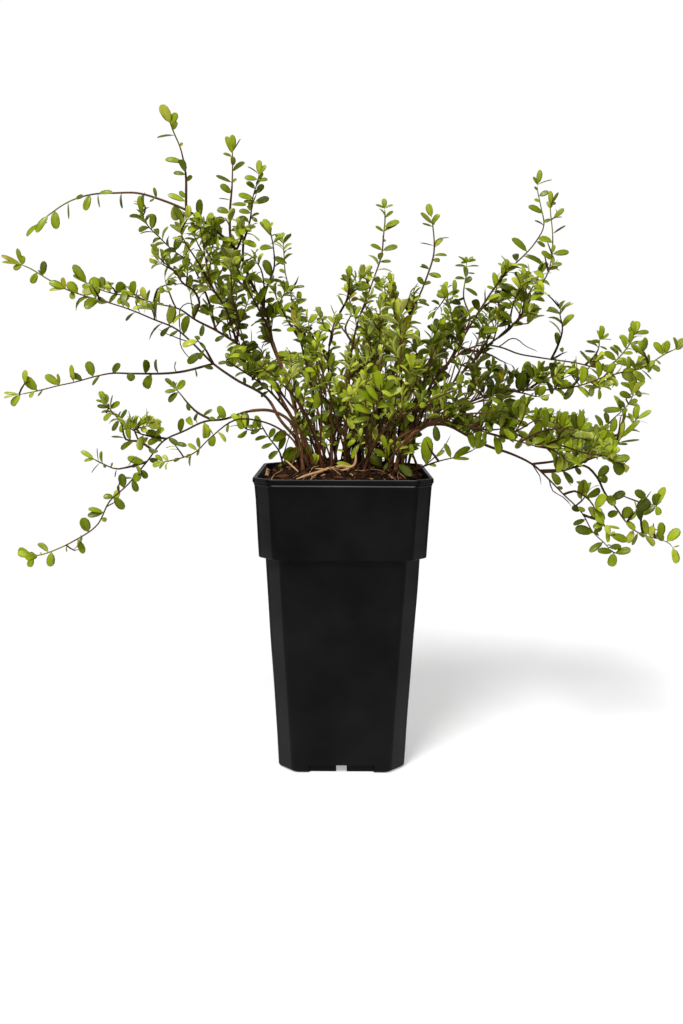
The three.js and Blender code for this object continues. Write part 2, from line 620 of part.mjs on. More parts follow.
// Leaves spiral up each twig, and a rosette closes it
function growLeaves(mass) {
  const random = mass.random;
  for (const { curve, from, to, first, side } of mass.twigs) {
    const whole = curve.getLength();
    const length = whole * (to - from);
    const count = Math.max(1, Math.floor(length / (LEAF_STEP * mass.leaf)));
    const last = 1 - (ROSETTE_STEP * (ROSETTE_LEAVES + 1)) / length;
    let turn = FACE_TURN + THIRD * Math.floor(3 * random());
    for (let k = 0; k < count && (k + first) / count <= last; k += 1) {
      turn += THIRD;
      const t = THREE.MathUtils.lerp(from, to, (k + first) / count);
      leafAt(mass, curve, t, {
        spread: vary(random, LEAF_SPREAD, SPREAD_JITTER),
        size: vary(random, 1, SIZE_JITTER),
        roll: vary(random, k % 2 === 0 ? LEAF_ROLL : -LEAF_ROLL, ROLL_JITTER),
        turn: vary(random, turn, TURN_JITTER),
      });
    }
    const end = to - LAST_SINK / whole;
    leafAt(mass, curve, end, { spread: LAST_SPREAD, size: 1, roll: LAST_ROLL, turn });
    const spokes = side ? ROSETTE_LEAVES - 1 : ROSETTE_LEAVES;
    for (let k = 0; k < spokes; k += 1) {
      turn += THIRD;
      leafAt(mass, curve, to - ((k + ROSETTE_START) * ROSETTE_STEP) / whole, {
        spread: vary(random, ROSETTE_SPREAD, ROSETTE_SPREAD_JITTER),
        size: vary(random, ROSETTE_SIZE, ROSETTE_SIZE_JITTER),
        roll: vary(random, 0, ROSETTE_ROLL_JITTER),
        turn: vary(random, turn, ROSETTE_TURN_JITTER),
      });
    }
  }
}

// Sets one leaf on a twig where it has room: turn goes round the twig, spread opens from its run,
// and roll tips the blade
function leafAt(mass, curve, t, { turn, spread, size, roll }) {
  const tangent = curve.getTangentAt(t);
  const back = new THREE.Vector3().crossVectors(tangent, curve.side).normalize();
  const radial = curve.side.clone().multiplyScalar(Math.cos(radians(turn)))
    .addScaledVector(back, Math.sin(radians(turn)));
  const direction = radial.clone().multiplyScalar(Math.sin(radians(spread)))
    .addScaledVector(tangent, Math.cos(radians(spread)))
    .normalize();
  const root = curve.getPointAt(t).addScaledVector(radial, LEAF_SINK);
  const normal = UP.clone().multiplyScalar(FACE_UP).addScaledVector(tangent, FACE_ALONG);
  normal.addScaledVector(direction, -normal.dot(direction)).normalize();
  normal.applyAxisAngle(direction, radians(roll));
  const length = size * mass.leaf;
  const points = leafPoints(root, direction, normal, length, LEAF_WIDTH * length);
  const shank = [points[1], points[4]].map((p) => points[0].clone().lerp(p, LEAF_SHANK));
  const axes = [direction, new THREE.Vector3().crossVectors(normal, direction), normal];
  const blade = body(mass.name, [...points.slice(1), ...shank], axes, true);
  if (isFree(blade) && isFree(body(mass.name, points, axes, false))) {
    claim(blade);
    mass.solids.push(solid(points, LEAF_FACES));
  }
}

// Joins a mass to one body, without loose scraps or sealed hollows
function fuse(solids) {
  const pieces = Manifold.union(solids).decompose();
  return pieces.reduce((a, b) => (b.volume() > a.volume() ? b : a));
}

const part = new THREE.Group();
part.name = 'potted_cranberry';
part.add(toMesh(buildPot(), 'pot', POT_COLOUR, 0.5));
part.add(toMesh(buildSoil(), 'soil', SOIL_COLOUR, 0.95));

masses.forEach(growTwigs);
masses.forEach(growLeaves);
masses.forEach((mass, index) => {
  const { curve, bare, thick } = mass;
  const bareEnd = radiusAt(thick, bare);
  if (bare > 0) {
    const stem = limb(curve, 0, bare - GAP / curve.getLength(), thick, bareEnd, STEM_SIDES, STEM_STEP);
    part.add(toMesh(stem, `stem_${mass.name}`, BARK_COLOUR, 0.85));
  }
  for (const twig of mass.twigs) {
    const foot = TWIG_FLARE * (twig.leader ? bareEnd : twig.thick);
    const tip = TWIG_FLARE * TIP_RADIUS;
    mass.solids.unshift(limb(twig.curve, twig.from, twig.to, foot, tip, TWIG_SIDES, TWIG_STEP));
  }
  const colour = LEAF_COLOURS[index % LEAF_COLOURS.length];
  part.add(toMesh(fuse(mass.solids), `leaves_${mass.name}`, colour, 0.6));
});

export default part;
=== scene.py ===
import math
import random

import bpy
import numpy as np
from mathutils import Matrix


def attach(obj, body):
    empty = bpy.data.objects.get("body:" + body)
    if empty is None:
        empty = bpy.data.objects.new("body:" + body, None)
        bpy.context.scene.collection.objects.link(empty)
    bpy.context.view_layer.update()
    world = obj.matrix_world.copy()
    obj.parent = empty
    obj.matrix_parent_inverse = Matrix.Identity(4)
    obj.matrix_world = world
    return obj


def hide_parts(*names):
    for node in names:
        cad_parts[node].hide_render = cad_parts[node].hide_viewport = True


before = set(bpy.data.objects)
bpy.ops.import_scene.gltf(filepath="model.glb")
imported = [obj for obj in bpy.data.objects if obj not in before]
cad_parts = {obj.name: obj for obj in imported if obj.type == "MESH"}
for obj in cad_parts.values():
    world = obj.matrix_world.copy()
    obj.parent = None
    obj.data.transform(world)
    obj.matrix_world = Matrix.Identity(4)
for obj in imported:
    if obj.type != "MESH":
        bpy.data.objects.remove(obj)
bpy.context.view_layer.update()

MM = 0.001

# Pot sizes in millimetres, from its outside foot to its inside floor
POT_HEIGHT = 181
POT_CORNER = 10
POT_WALL = 1.3
FOOT_WIDTH = 77.7
BODY_TOP_WIDTH = 91.3
BODY_TOP_Z = 133
COLLAR_STEP = 0.7
COLLAR_FOOT_WIDTH = 98.6
COLLAR_TOP_WIDTH = 103.2
RIDGE_Z = 177.3
LIP_Z = 178.2
LIP_WIDTH = 105
MOUTH_WIDTH = 100.6
FLOOR_Z = 6.6
FOOT_RECESS = 5.2
NOTCH_WIDTH = 40
NOTCH_DEPTH = 3.2
CHANNEL_WIDTH = 6.4
DRAIN_RADIUS = 2.3
DRAIN_OFFSET = 22
DRAIN_PLACES = [(0, 0), (1, 0), (0, 1), (-1, 0), (0, -1)]

# Growing medium
SOIL_EDGE_Z = 174.5
SOIL_SHOULDER_Z = 180
SOIL_SHOULDER_WIDTH = 91
SOIL_TOP_Z = 183
SOIL_TOP_WIDTH = 80
GAP = 0.3

# Limbs
TIP_RADIUS = 0.5
SIDE_RADIUS = 0.52
BRANCH_RADIUS = 0.78
FINE_RADIUS = 0.36
SUCKER_RADIUS = 0.66
TAPER = 0.8
SLIM = 0.7
ROOT_DEPTH = 2

# Random draws: a turn for phases, and the step from which the place of a row in its table makes its seed
TURN = 6.28
SEED_STEP = 7919
SPRIG_SEEDS = 50 * SEED_STEP
POSED_SEEDS = 60 * SEED_STEP

CAMERA_PLACE = (-0.83 * MM, -609.05 * MM, 246.02 * MM)
UP = np.array([0.0, 0.0, 1.0])

# Shoots that rise from the soil. foot: x, y on the mound. bare: leafless share. thick: radius at the foot.
# leaf: length of a leaf. bush: length of side twigs.
# With a line of x, z the y runs evenly to tip_y. Without one the shoot curves to tip: x, y, z of the last
# leaf, with rise and end: slope in degrees and pull in millimetres at the foot and at the tip.
# Where given: first, the share at which leaves start; reach, the share of the length that grows; pitch, the
# share of the usual spacing; mood, how much paler; hang, leaves that hang; suckers=0 and dead=0, none of
# these; seeded=0, only listed leaves.
SHOOTS = [
    dict(name="left_arch", foot=(-22, 6), tip_y=12, bare=0.27, thick=2.3, leaf=11.4, hang=True,
         first=0.36, suckers=0,
         line=[(-25, 199), (-29, 215), (-33, 230), (-39, 245), (-44, 259), (-47, 275), (-53, 288),
               (-58, 298), (-62, 309), (-70, 319), (-80, 327), (-89, 334), (-111, 344), (-126, 348),
               (-138, 348), (-154, 347), (-167, 343), (-177, 337), (-185, 331), (-195, 323)]),
    dict(name="left_long", foot=(-29, -3), tip_y=-15, bare=0.2, thick=1.5, leaf=12.2, first=0.46,
         suckers=0, dead=0,
         line=[(-27, 196), (-39, 213), (-46, 225), (-66, 237), (-79, 246), (-91, 258), (-100, 266),
               (-114, 272), (-126, 277), (-138, 281), (-152, 285), (-164, 289), (-175, 295), (-185, 301),
               (-200, 306)]),
    dict(name="left_low", foot=(-24, -13), tip_y=-30, bare=0.24, thick=1.5, leaf=10.2, first=0.3,
         suckers=0, dead=0,
         line=[(-27, 201), (-32, 212), (-42, 218), (-56, 218), (-72, 213), (-82, 212), (-95, 206),
               (-106, 201), (-117, 188), (-130, 173), (-139, 165), (-147, 150), (-160, 141), (-170, 136),
               (-182, 132), (-195, 132)]),
    dict(name="left_back", foot=(-19, 15), tip_y=42, bare=0.25, thick=1.8, bush=16, leaf=10, first=0.34,
         pitch=1.3, suckers=0,
         line=[(-24, 198), (-32, 211), (-40, 225), (-51, 241), (-61, 253), (-81, 267), (-95, 274),
               (-104, 280), (-121, 284), (-131, 287), (-155, 292), (-166, 297), (-176, 303)]),
    dict(name="left_thin", foot=(-33, -14), tip_y=-44, bare=0.33, thick=1, leaf=7, first=0.42,
         pitch=1.3, suckers=0, dead=0,
         line=[(-28, 197), (-40, 209), (-50, 213), (-62, 214), (-78, 203), (-86, 195), (-97, 191),
               (-111, 189)]),
    dict(name="left_centre", foot=(-12, 11), tip_y=12, bare=0.28, thick=1.3, bush=12, leaf=9.2, suckers=0,
         line=[(-13, 205), (-18, 224), (-22, 242), (-27, 261), (-31, 278), (-33, 290), (-36, 301),
               (-37, 314), (-38, 327)]),
    dict(name="centre_tall", foot=(1, 9), tip_y=20, bare=0.28, thick=1.4, bush=10, leaf=8.8,
         line=[(1, 199), (3, 224), (5, 254), (9, 273), (14, 287), (19, 301), (23, 313), (24, 324),
               (25, 335), (24, 348)]),
    dict(name="centre_front", foot=(-7, -2), tip_y=-30, bare=0.34, thick=1.2, bush=11, leaf=8.8,
         line=[(-7, 206), (-8, 231), (-9, 248), (-6, 269), (2, 283), (8, 292), (15, 303)]),
    dict(name="right_centre", foot=(18, -2), tip_y=-20, bare=0.28, thick=1.4, bush=10, leaf=8.8,
         line=[(21, 200), (27, 225), (33, 252), (39, 275), (44, 285), (49, 298), (52, 309), (51, 326),
               (49, 337)]),
    dict(name="right_inner", foot=(13, 13), tip_y=45, bare=0.32, thick=1.3, bush=9, leaf=8.9,
         line=[(20, 199), (31, 221), (50, 243), (69, 259), (81, 275), (77, 289), (79, 306), (79, 318)]),
    dict(name="right_tall_back", foot=(30, 8), tip_y=30, bare=0.28, thick=1.4, bush=10, leaf=11.2,
         line=[(34, 199), (54, 227), (70, 255), (85, 280), (97, 298), (103, 305), (119, 322), (124, 331),
               (122, 345), (120, 355), (121, 366)]),
    dict(name="right_tall", foot=(36, -2), tip_y=-4, bare=0.25, thick=1.4, bush=14, leaf=11.2,
         line=[(38, 201), (53, 222), (68, 237), (80, 250), (88, 259), (99, 267), (107, 277), (112, 285),
               (117, 292), (122, 301), (124, 311), (124, 323), (122, 338), (122, 350)]),
    dict(name="right_upper", foot=(27, -7), tip_y=20, bare=0.28, thick=1.4, leaf=10.6, first=0.72,
        
         line=[(35, 203), (50, 228), (65, 248), (84, 258), (96, 257), (108, 253), (120, 251), (142, 248),
               (166, 246), (174, 253), (182, 267), (182, 275)]),
    dict(name="right_long", foot=(35, -9), tip_y=-20, bare=0.2, thick=1.4, bush=8, leaf=11.4,
         line=[(40, 201), (58, 214), (76, 224), (94, 230), (110, 231), (131, 232), (141, 234), (154, 239),
               (164, 242), (180, 247), (189, 253), (205, 260)]),
    # right_back's leaves are darkened by its mood, as painted shade
    dict(name="right_back", foot=(34, 14), tip_y=45, bare=0.2, thick=1.4, bush=17, leaf=11.8, mood=-0.06,
         line=[(46, 205), (68, 214), (94, 211), (114, 201), (131, 194), (145, 192), (160, 197), (176, 211),
               (188, 223), (192, 234), (195, 240)]),
    dict(name="right_low", foot=(31, -18), tip_y=-35, bare=0.18, thick=1.8, bush=12, leaf=12, first=0.7,
         dead=0,
         line=[(34, 194), (46, 209), (60, 211), (73, 205), (85, 199), (100, 194), (112, 188), (122, 179),
               (130, 171), (142, 159), (147, 150), (159, 136), (159, 128)]),
    dict(name="right_front", foot=(23, -21), tip_y=-70, bare=0.3, thick=1.1, bush=15, leaf=11.6,
         line=[(33, 198), (42, 208), (55, 214), (72, 211), (88, 206), (98, 204), (107, 202), (119, 207)]),
    dict(name="back_left", foot=(-14, 23), tip=(-112, 95, 262), rise=(70, 60), end=(10, 40), bare=0.3,
         thick=1.3, bush=14, leaf=10, reach=0.72),
    dict(name="back_centre", foot=(-4, 18), tip=(-45, 142, 250), rise=(75, 60), end=(5, 45), bare=0.3,
         thick=1.3, bush=14, leaf=10),
    dict(name="back_tall", foot=(6, 22), tip=(22, 118, 298), rise=(78, 60), end=(45, 40), bare=0.3,
         thick=1.3, bush=14, leaf=9.6, reach=0.88),
    dict(name="back_right", foot=(16, 22), tip=(75, 128, 245), rise=(70, 55), end=(5, 40), bare=0.3,
         thick=1.3, bush=14, leaf=10),
    dict(name="back_far_right", foot=(26, 20), tip=(134, 92, 232), rise=(60, 50), end=(20, 40), bare=0.3,
         thick=1.3, bush=14, leaf=10.4, reach=0.85),
    dict(name="front_left", foot=(-17, -10), tip=(-96, -82, 262), rise=(75, 60), end=(20, 30), bare=0.3,
         thick=1.2, bush=7, leaf=7.4, reach=0.72, pitch=1.25, suckers=0),
    dict(name="front_centre_left", foot=(-12, -22), tip=(-48, -122, 250), rise=(75, 50), end=(20, 35),
         bare=0.3, thick=1.2, bush=7, leaf=7.4, pitch=1.25),
    dict(name="front_centre", foot=(1, -13), tip=(4, -140, 232), rise=(70, 50), end=(10, 40), bare=0.3,
         thick=1.2, bush=7, leaf=7.4, pitch=1.25),
    dict(name="front_right", foot=(12, -23), tip=(62, -124, 238), rise=(65, 45), end=(20, 40), bare=0.3,
         thick=1.2, bush=7, leaf=7.4, pitch=1.25),
    dict(name="front_far_right", foot=(17, -13), tip=(108, -92, 224), rise=(60, 50), end=(10, 35), bare=0.3,
         thick=1.2, bush=6, leaf=8.8, reach=0.8),
    dict(name="left_foot", foot=(-36, -6), tip_y=-27, bare=0, thick=0.9, leaf=9.5, seeded=0,
         line=[(-39, 194), (-47, 207), (-51, 217)]),
    dict(name="front_rosette", foot=(3, -24), tip_y=-76, bare=0, thick=0.9, leaf=11, seeded=0,
         line=[(14, 194), (14, 213), (20, 229), (19, 243)]),
    dict(name="right_foot", foot=(38, -14), tip_y=-32, bare=0, thick=0.9, leaf=11, seeded=0,
         line=[(57, 189), (70, 193), (85, 202)]),
]

# Branches: parent shoot, share of its length, tip, rise, end
BRANCHES = [
    ("left_arch", 0.3, (-66, -28, 313), (60, 12), (80, 12)),
    ("left_back", 0.44, (-86, 60, 312), (60, 15), (80, 15)),
    ("left_low", 0.48, (-130, -40, 216), (10, 14), (60, 12)),
    ("centre_front", 0.55, (-32, -34, 276), (40, 12), (80, 12)),
    ("right_centre", 0.6, (24, -52, 290), (40, 12), (80, 12)),
    ("right_front", 0.58, (86, -66, 220), (70, 8), (80, 8)),
    ("right_back", 0.51, (142, 38, 219), (60, 8), (80, 8)),
    ("right_back", 0.59, (160, 52, 214), (50, 8), (80, 8)),
    ("right_long", 0.42, (116, -50, 232), (20, 12), (50, 12)),
    ("centre_tall", 0.33, (30, -4, 264), (50, 12), (80, 12)),
]

# Branches that follow a line of x, z: own name, parent, y of the tip, length of side twigs, line
TRACED = [
    ("A", "left_arch", 20, 0, [(-94, 340), (-97, 364), (-100, 376), (-104, 385), (-110, 402)]),
    ("H", "left_arch", 30, 0, [(-69, 318), (-70, 328), (-70, 338), (-69, 356), (-69, 366), (-70, 387)]),
    ("I", "left_arch", -10, 0, [(-62, 309), (-61, 318), (-57, 329), (-54, 345), (-51, 353), (-49, 365)]),
    ("J", "left_arch", -38, 0, [(-50, 282), (-46, 293), (-41, 303), (-41, 314), (-42, 321), (-41, 328)]),
    ("L2", "left_arch", -25, 0, [(-50, 280), (-48, 293), (-49, 301), (-53, 307), (-56, 311)]),
    ("S4", "left_arch", -15, 0, [(-70, 319), (-74, 322), (-77, 325), (-78, 331)]),
    ("S5", "left_arch", 30, 6, [(-53, 288), (-64, 295), (-72, 305), (-76, 315), (-79, 324)]),
    ("D", "left_long", -48, 0, [(-79, 246), (-97, 241), (-124, 240), (-136, 240), (-145, 238), (-155, 235),
     (-164, 233), (-175, 230), (-184, 228), (-194, 226)]),
    ("C2", "left_long", -30, 0, [(-79, 246), (-82, 254), (-87, 261), (-92, 268)]),
    ("S1", "left_back", 28, 0, [(-81, 267), (-85, 283), (-91, 298), (-97, 309), (-106, 315), (-117, 325),
     (-123, 331), (-129, 347)]),
    ("S2", "left_back", 2, 0, [(-95, 274), (-91, 284), (-94, 291), (-100, 295), (-104, 302), (-110, 307),
     (-117, 317)]),
    ("S3", "left_back", -16, 7, [(-68, 259), (-73, 279), (-81, 294), (-83, 305), (-84, 314), (-85, 325),
     (-84, 338)]),
    ("S6", "left_back", -30, 7, [(-68, 259), (-65, 273), (-67, 285), (-66, 297), (-66, 307)]),
    ("S7", "left_back", 20, 0, [(-121, 284), (-118, 292), (-110, 295), (-103, 296)]),
    ("E1", "left_low", -20, 8, [(-112, 195), (-122, 200), (-129, 201), (-132, 211), (-137, 217),
     (-142, 223), (-146, 230)]),
    ("E2", "left_low", -10, 0, [(-78, 212), (-87, 217), (-94, 223), (-98, 228), (-108, 238)]),
    ("E3", "left_low", -34, 0, [(-117, 188), (-127, 185), (-134, 184), (-141, 187), (-146, 190),
     (-154, 196)]),
    ("T", "centre_front", -60, 6, [(-8, 257), (-7, 263), (-11, 268), (-15, 276)]),
    ("Q2", "centre_front", -45, 6, [(-2, 276), (2, 284), (3, 292), (3, 300)]),
    ("R", "centre_tall", 58, 7, [(8, 267), (18, 271), (26, 275), (27, 287), (26, 304)]),
    ("R2", "centre_tall", -10, 0, [(16, 292), (11, 300)]),
    ("R3", "centre_tall", 30, 7, [(6, 258), (1, 267), (5, 279), (5, 286)]),
    ("R4", "right_centre", -35, 7, [(35, 261), (30, 273), (28, 284), (29, 292)]),
    ("R5", "right_centre", 10, 6, [(39, 275), (39, 287)]),
    ("S", "right_inner", 72, 6, [(69, 259), (71, 275), (69, 287), (68, 301)]),
    ("P3", "right_inner", 20, 0, [(77, 289), (67, 285), (70, 291), (72, 293)]),
    ("U3", "right_tall_back", 35, 5, [(85, 280), (93, 287), (97, 296), (97, 306)]),
    ("U4", "right_tall_back", 0, 0, [(97, 298), (99, 303), (98, 309)]),
    ("U5", "right_tall", -25, 6, [(99, 267), (100, 281), (103, 292), (104, 301)]),
    ("U6", "right_tall", 20, 6, [(107, 277), (112, 288), (125, 308)]),
    ("V", "right_upper", -25, 0, [(129, 251), (131, 259), (131, 268), (127, 277), (127, 285)]),
    ("W", "right_upper", 22, 0, [(150, 247), (157, 252), (161, 264), (162, 271)]),
    ("W3", "right_upper", -5, 0, [(129, 251), (138, 254), (141, 251)]),
    ("X2", "right_long", 15, 5, [(136, 233), (144, 240), (153, 247), (164, 252)]),
    ("X3", "right_long", -40, 5, [(110, 231), (118, 238), (123, 240), (130, 245)]),
    ("F3", "right_front", -60, 7, [(88, 206), (99, 211), (107, 216), (120, 219)]),
    ("F5", "right_front", -48, 7, [(55, 214), (64, 218), (72, 222), (77, 225)]),
    ("F6", "right_front", -58, 7, [(72, 211), (80, 215), (86, 220), (94, 224)]),
    ("F7", "right_front", -72, 6, [(98, 204), (109, 210), (119, 212), (127, 211), (138, 215)]),
    ("F8", "right_front", -40, 6, [(55, 214), (68, 208), (76, 202), (79, 199)]),
    ("F1", "right_back", 25, 7, [(145, 192), (160, 192), (173, 192), (181, 203), (188, 212), (197, 218)]),
    ("F9", "right_back", 50, 5, [(145, 192), (150, 198), (155, 207), (161, 216)]),
    ("F10", "right_back", 10, 7, [(131, 194), (140, 187), (148, 192), (160, 197)]),
    ("F2", "right_low", -20, 7, [(119, 184), (133, 185), (147, 191), (157, 193), (168, 189)]),
    ("F11", "right_low", 0, 7, [(112, 188), (130, 190), (144, 196), (160, 201)]),
    ("Z2", "right_low", -10, 0, [(116, 184), (132, 185), (144, 187), (152, 180), (157, 171), (165, 161),
     (172, 152), (183, 144), (191, 142), (202, 137), (206, 126)]),
    ("Z3", "Z2", 6, 0, [(183, 144), (183, 152), (186, 162), (192, 169), (199, 174)]),
    ("Z6", "Z2", -30, 0, [(172, 152), (176, 160), (183, 163)]),
    ("Z4", "right_low", -50, 5, [(130, 171), (136, 173), (143, 169), (147, 162), (150, 156)]),
    ("Z5", "right_low", -60, 6, [(142, 159), (150, 156), (154, 149), (159, 146)]),
    ("M1", "left_arch", -8, 0, [(-70, 319), (-79, 322), (-84, 326), (-88, 331), (-91, 334)]),
    ("M4", "left_arch", -20, 0, [(-66, 313), (-62, 319), (-60, 325), (-60, 330)]),
    ("M6", "S3", -10, 0, [(-80, 291), (-88, 306), (-94, 316), (-97, 323), (-97, 331)]),
    ("M8", "S3", 10, 0, [(-83, 306), (-80, 315), (-78, 325), (-76, 331)]),
    ("N1", "left_centre", -20, 0, [(-27, 261), (-33, 270), (-37, 278), (-40, 285), (-43, 293)]),
    ("K1", "left_long", -30, 0, [(-145, 282), (-146, 289), (-148, 293), (-151, 296)]),
    ("K2", "left_long", 0, 0, [(-161, 288), (-166, 293), (-172, 295)]),
    ("K3", "left_back", 20, 0, [(-145, 289), (-147, 294), (-150, 296)]),
    ("G1", "F1", 0, 0, [(178, 195), (175, 206), (173, 215), (175, 223)]),
    ("G3", "right_front", -50, 6, [(106, 202), (121, 202), (133, 198), (145, 196), (156, 198)]),
    ("G4", "right_front", -40, 6, [(112, 204), (127, 207), (139, 204), (150, 200)]),
    ("G5", "right_front", -60, 0, [(106, 202), (118, 199), (126, 192), (131, 184)]),
    ("G6", "right_long", 0, 0, [(154, 239), (162, 246), (163, 253)]),
    ("G7", "right_long", -50, 0, [(180, 247), (174, 252), (165, 256)]),
    ("G8", "Z2", 10, 0, [(191, 142), (193, 147), (198, 152)]),
    ("B1", "right_foot", -45, 0, [(57, 189), (51, 197), (48, 203), (49, 209)]),
    ("B2", "right_foot", -20, 0, [(45, 184), (42, 192), (39, 200), (36, 210)]),
    ("U7", "right_tall", -10, 0, [(80, 250), (88, 264), (93, 273), (98, 280)]),
    ("U8", "right_tall", 25, 0, [(107, 277), (110, 285), (113, 295), (116, 304)]),
    ("D1", "right_upper", -12, 8, [(65, 248), (76, 245), (87, 244), (97, 242)]),
    ("D2", "right_upper", 12, 8, [(77, 255), (88, 253), (99, 248), (111, 244)]),
    ("D3", "right_upper", -36, 8, [(53, 231), (67, 235), (79, 237), (90, 238)]),
    ("D4", "right_long", -30, 7, [(58, 214), (72, 221), (85, 227), (97, 231)]),
    ("G9", "right_front", -66, 8, [(72, 211), (82, 210), (91, 212), (99, 215)]),
    ("G10", "right_front", -58, 7, [(81, 208), (91, 206), (100, 204)]),
    ("G11", "G3", -30, 0, [(145, 196), (155, 192), (163, 186)]),
    ("G12", "F1", 10, 5, [(160, 192), (164, 202), (165, 210)]),
    ("G13", "right_back", 30, 6, [(160, 197), (168, 190), (178, 189)]),
    ("U10", "right_tall", -30, 5, [(94, 264), (101, 271), (108, 276), (114, 280)]),
    ("U11", "right_tall", 18, 0, [(122, 301), (122, 311), (122, 319)]),
    ("N2", "left_centre", 5, 0, [(-33, 290), (-29, 296), (-27, 301), (-26, 306)]),
]

# Habits of single branches: spacing and size of their leaves, as shares of the usual ones
HABITS = {
    "W3": (3.5, 0.8), "Z2": (1.35, 0.95), "R5": (1.8, 0.9), "R4": (1.35, 0.95), "S": (1.7, 0.95),
    "U8": (1.3, 0.9), "U4": (1.3, 1), "R3": (1.3, 0.95), "X3": (1.3, 0.95), "W": (1.3, 0.95),
    "E3": (1.4, 0.8), "T": (1.7, 0.9), "L2": (1.3, 0.95), "Z4": (1.3, 0.95), "G7": (1.3, 0.95),
    "G12": (1.2, 1), "U5": (1.2, 0.95), "K3": (1.7, 0.85), "K2": (1.4, 0.9), "U11": (1.2, 1),
    "F11": (1.2, 1), "Z3": (1.2, 1), "Q2": (1.2, 1), "V": (0.9, 1), "U7": (1.15, 1), "S7": (1.15, 0.95),
    "D": (1, 0.8), "S5": (1.15, 1), "S6": (1.15, 1), "J": (1.15, 1), "G3": (0.9, 1), "G6": (0.9, 1),
    "B2": (0.9, 1), "F6": (0.9, 1), "G9": (0.85, 1), "M6": (0.8, 1), "F2": (0.8, 1), "M4": (0.8, 1),
    "G13": (0.75, 1), "M1": (0.5, 1.05), "Z6": (0.45, 1), "S2": (0.7, 1), "U10": (0.7, 1), "G10": (0.7, 1),
    "B1": (0.65, 1), "G11": (0.65, 1.1), "S1": (0.6, 1.05), "I": (0.42, 1.1), "E1": (0.55, 0.9),
    "E2": (0.85, 0.85),
}

# Bare dead twigs: parent, y of the tip, line
WITHERED = [
    ("left_back", 30, [(-104, 280), (-105, 268), (-104, 257), (-95, 246)]),
    ("left_back", 34, [(-104, 280), (-100, 284), (-96, 283), (-94, 277)]),
    ("left_long", -20, [(-91, 258), (-104, 263), (-109, 266)]),
    ("right_upper", -20, [(96, 257), (104, 262), (108, 258), (114, 254)]),
    ("right_low", -40, [(122, 179), (124, 172), (129, 170), (133, 165)]),
    ("right_low", -20, [(112, 188), (118, 179), (119, 175)]),
    ("right_long", 0, [(141, 234), (134, 243), (126, 244), (120, 245)]),
]

# Leaves, in millimetres, degrees and shares. Runners are level limbs. A pair is a middle and its spread.
LEAF_WIDTH = 0.4
RUNNER_LEAF_WIDTH = 0.5
LEAF_THICK = 0.22
LEAF_BEND = 1.15, 0.9
LEAF_FOLD = 0.0, 0.5
POSED_BEND = 0.7, 0.7
POSED_FOLD = 0.1, 0.4
ROLL_SPREAD = 32
SIZE_SPREAD = 0.36
UPRIGHT_PITCH = 3.0
RUNNER_PITCH = 3.7
SPIRAL = 137.5
SPIRAL_SPREAD = 34
SIDEWAYS = 0.55
# The angle between leaf and limb, how much less it is at the tip, and its spread
LEAF_ANGLE = 74
ANGLE_LOSS = 18
ANGLE_SPREAD = 22
# Share of leaves kept: at the heart, more outward, and of those that hang
LEAST_KEPT = 0.1
KEPT_OUTWARD = 0.86
HANGING_KEPT = 0.8
# Spread in degrees of each leaf of a bud's rosette, and its place below the tip
BUD_LEAVES = ((10, 0.2), (34, 0.8), (38, 1.6), (54, 3.2), (58, 4.6))

# How pale leaves are: on the whole, more high up, more outward as painted light, less in a thicket as
# painted shade, more along a limb and at its bud, and the spread from limb to limb. Limits between the
# tones, the spread by chance, and the rare olive tone
SHADE = 0.555
SHADE_OUTWARD = 0.06
THICKET_PAINTED_SHADE = 1.35
AGE_SHADE = 0.2
BUD_SHADE = 0.27
MOOD_SPREAD = 0.09
TONE_LIMITS = (0.3, 0.46, 0.62, 0.78, 0.93)
TONE_SPREAD = 0.17
OLIVE_SHARE = 0.012
OLIVE = 6

# Where leaves and twigs stay clear of the pot's rim and the mound
RIM_CLEAR_REACH = 54
RIM_CLEAR_Z = 183
MOUND_CLEAR_REACH = 42
MOUND_CLEAR_Z = 184.5
# The circle that stays clear in front of a listed leaf: its place and radius as shares of the leaf, and
# how far it reaches behind the leaf's middle and in all
FRONT_PLACE = 0.55
FRONT_RADIUS = 0.42
FRONT_MARGIN = 1
CLEAR_DEPTH = 40

# Spacing of side twigs, of those on branches, of finer ones and of dead ones
TWIG_PITCH = 12
BRANCH_TWIG_PITCH = 14
FINE_PITCH = 11
DEAD_PITCH = 9
# Share of a limb that carries side twigs
LEADER_ZONE = 0.5
BRANCH_ZONE = 0.8
# Reach of side twigs beyond a limb's bush, of finer and of dead ones, and the twigs that carry finer ones
BUSH_REACH = 6
FINE_REACH = 8
DEAD_REACH = 18
FINE_FROM = 18
# Young shoots from a leader's foot: length, share of the leader at which it starts, spread of that share
SUCKERS = ((34, 0.09, 0.1), (52, 0.09, 0.1), (80, 0.09, 0.1), (17, 0.035, 0.03), (26, 0.035, 0.03))
# Young shoots from the soil beside it: their lengths, and how far away
RISERS = (36, 48, 66)
RISER_APART = 6
# How much paler the young shoots are that start in front of a line, as painted light, and behind it, where
# they are darker as painted shade
FRONT_Y = -12
FRONT_PAINTED_LIGHT = 0.16
BACK_PAINTED_SHADE = -0.08
# Where leaves start on a branch given by its tip, one along a line and a sprig; the bush of the first, and
# the size of leaves on the second
BRANCH_FIRST = 0.06
LINE_FIRST = 0.08
SPRIG_FIRST = 0.2
BRANCH_BUSH = 8
LINE_LEAF = 0.92
# The part of a leader that carries dead twigs
DEAD_SPAN = 0.1, 0.75
# How far curves wander: a leader along a line and without one, a branch, a branch or sprig along a line,
# dead twigs
LEADER_WANDER = 0.5
FREE_WANDER = 1.1
BRANCH_WANDER = 0.7
LINE_WANDER = 0.3
DEAD_WANDER = 0.8

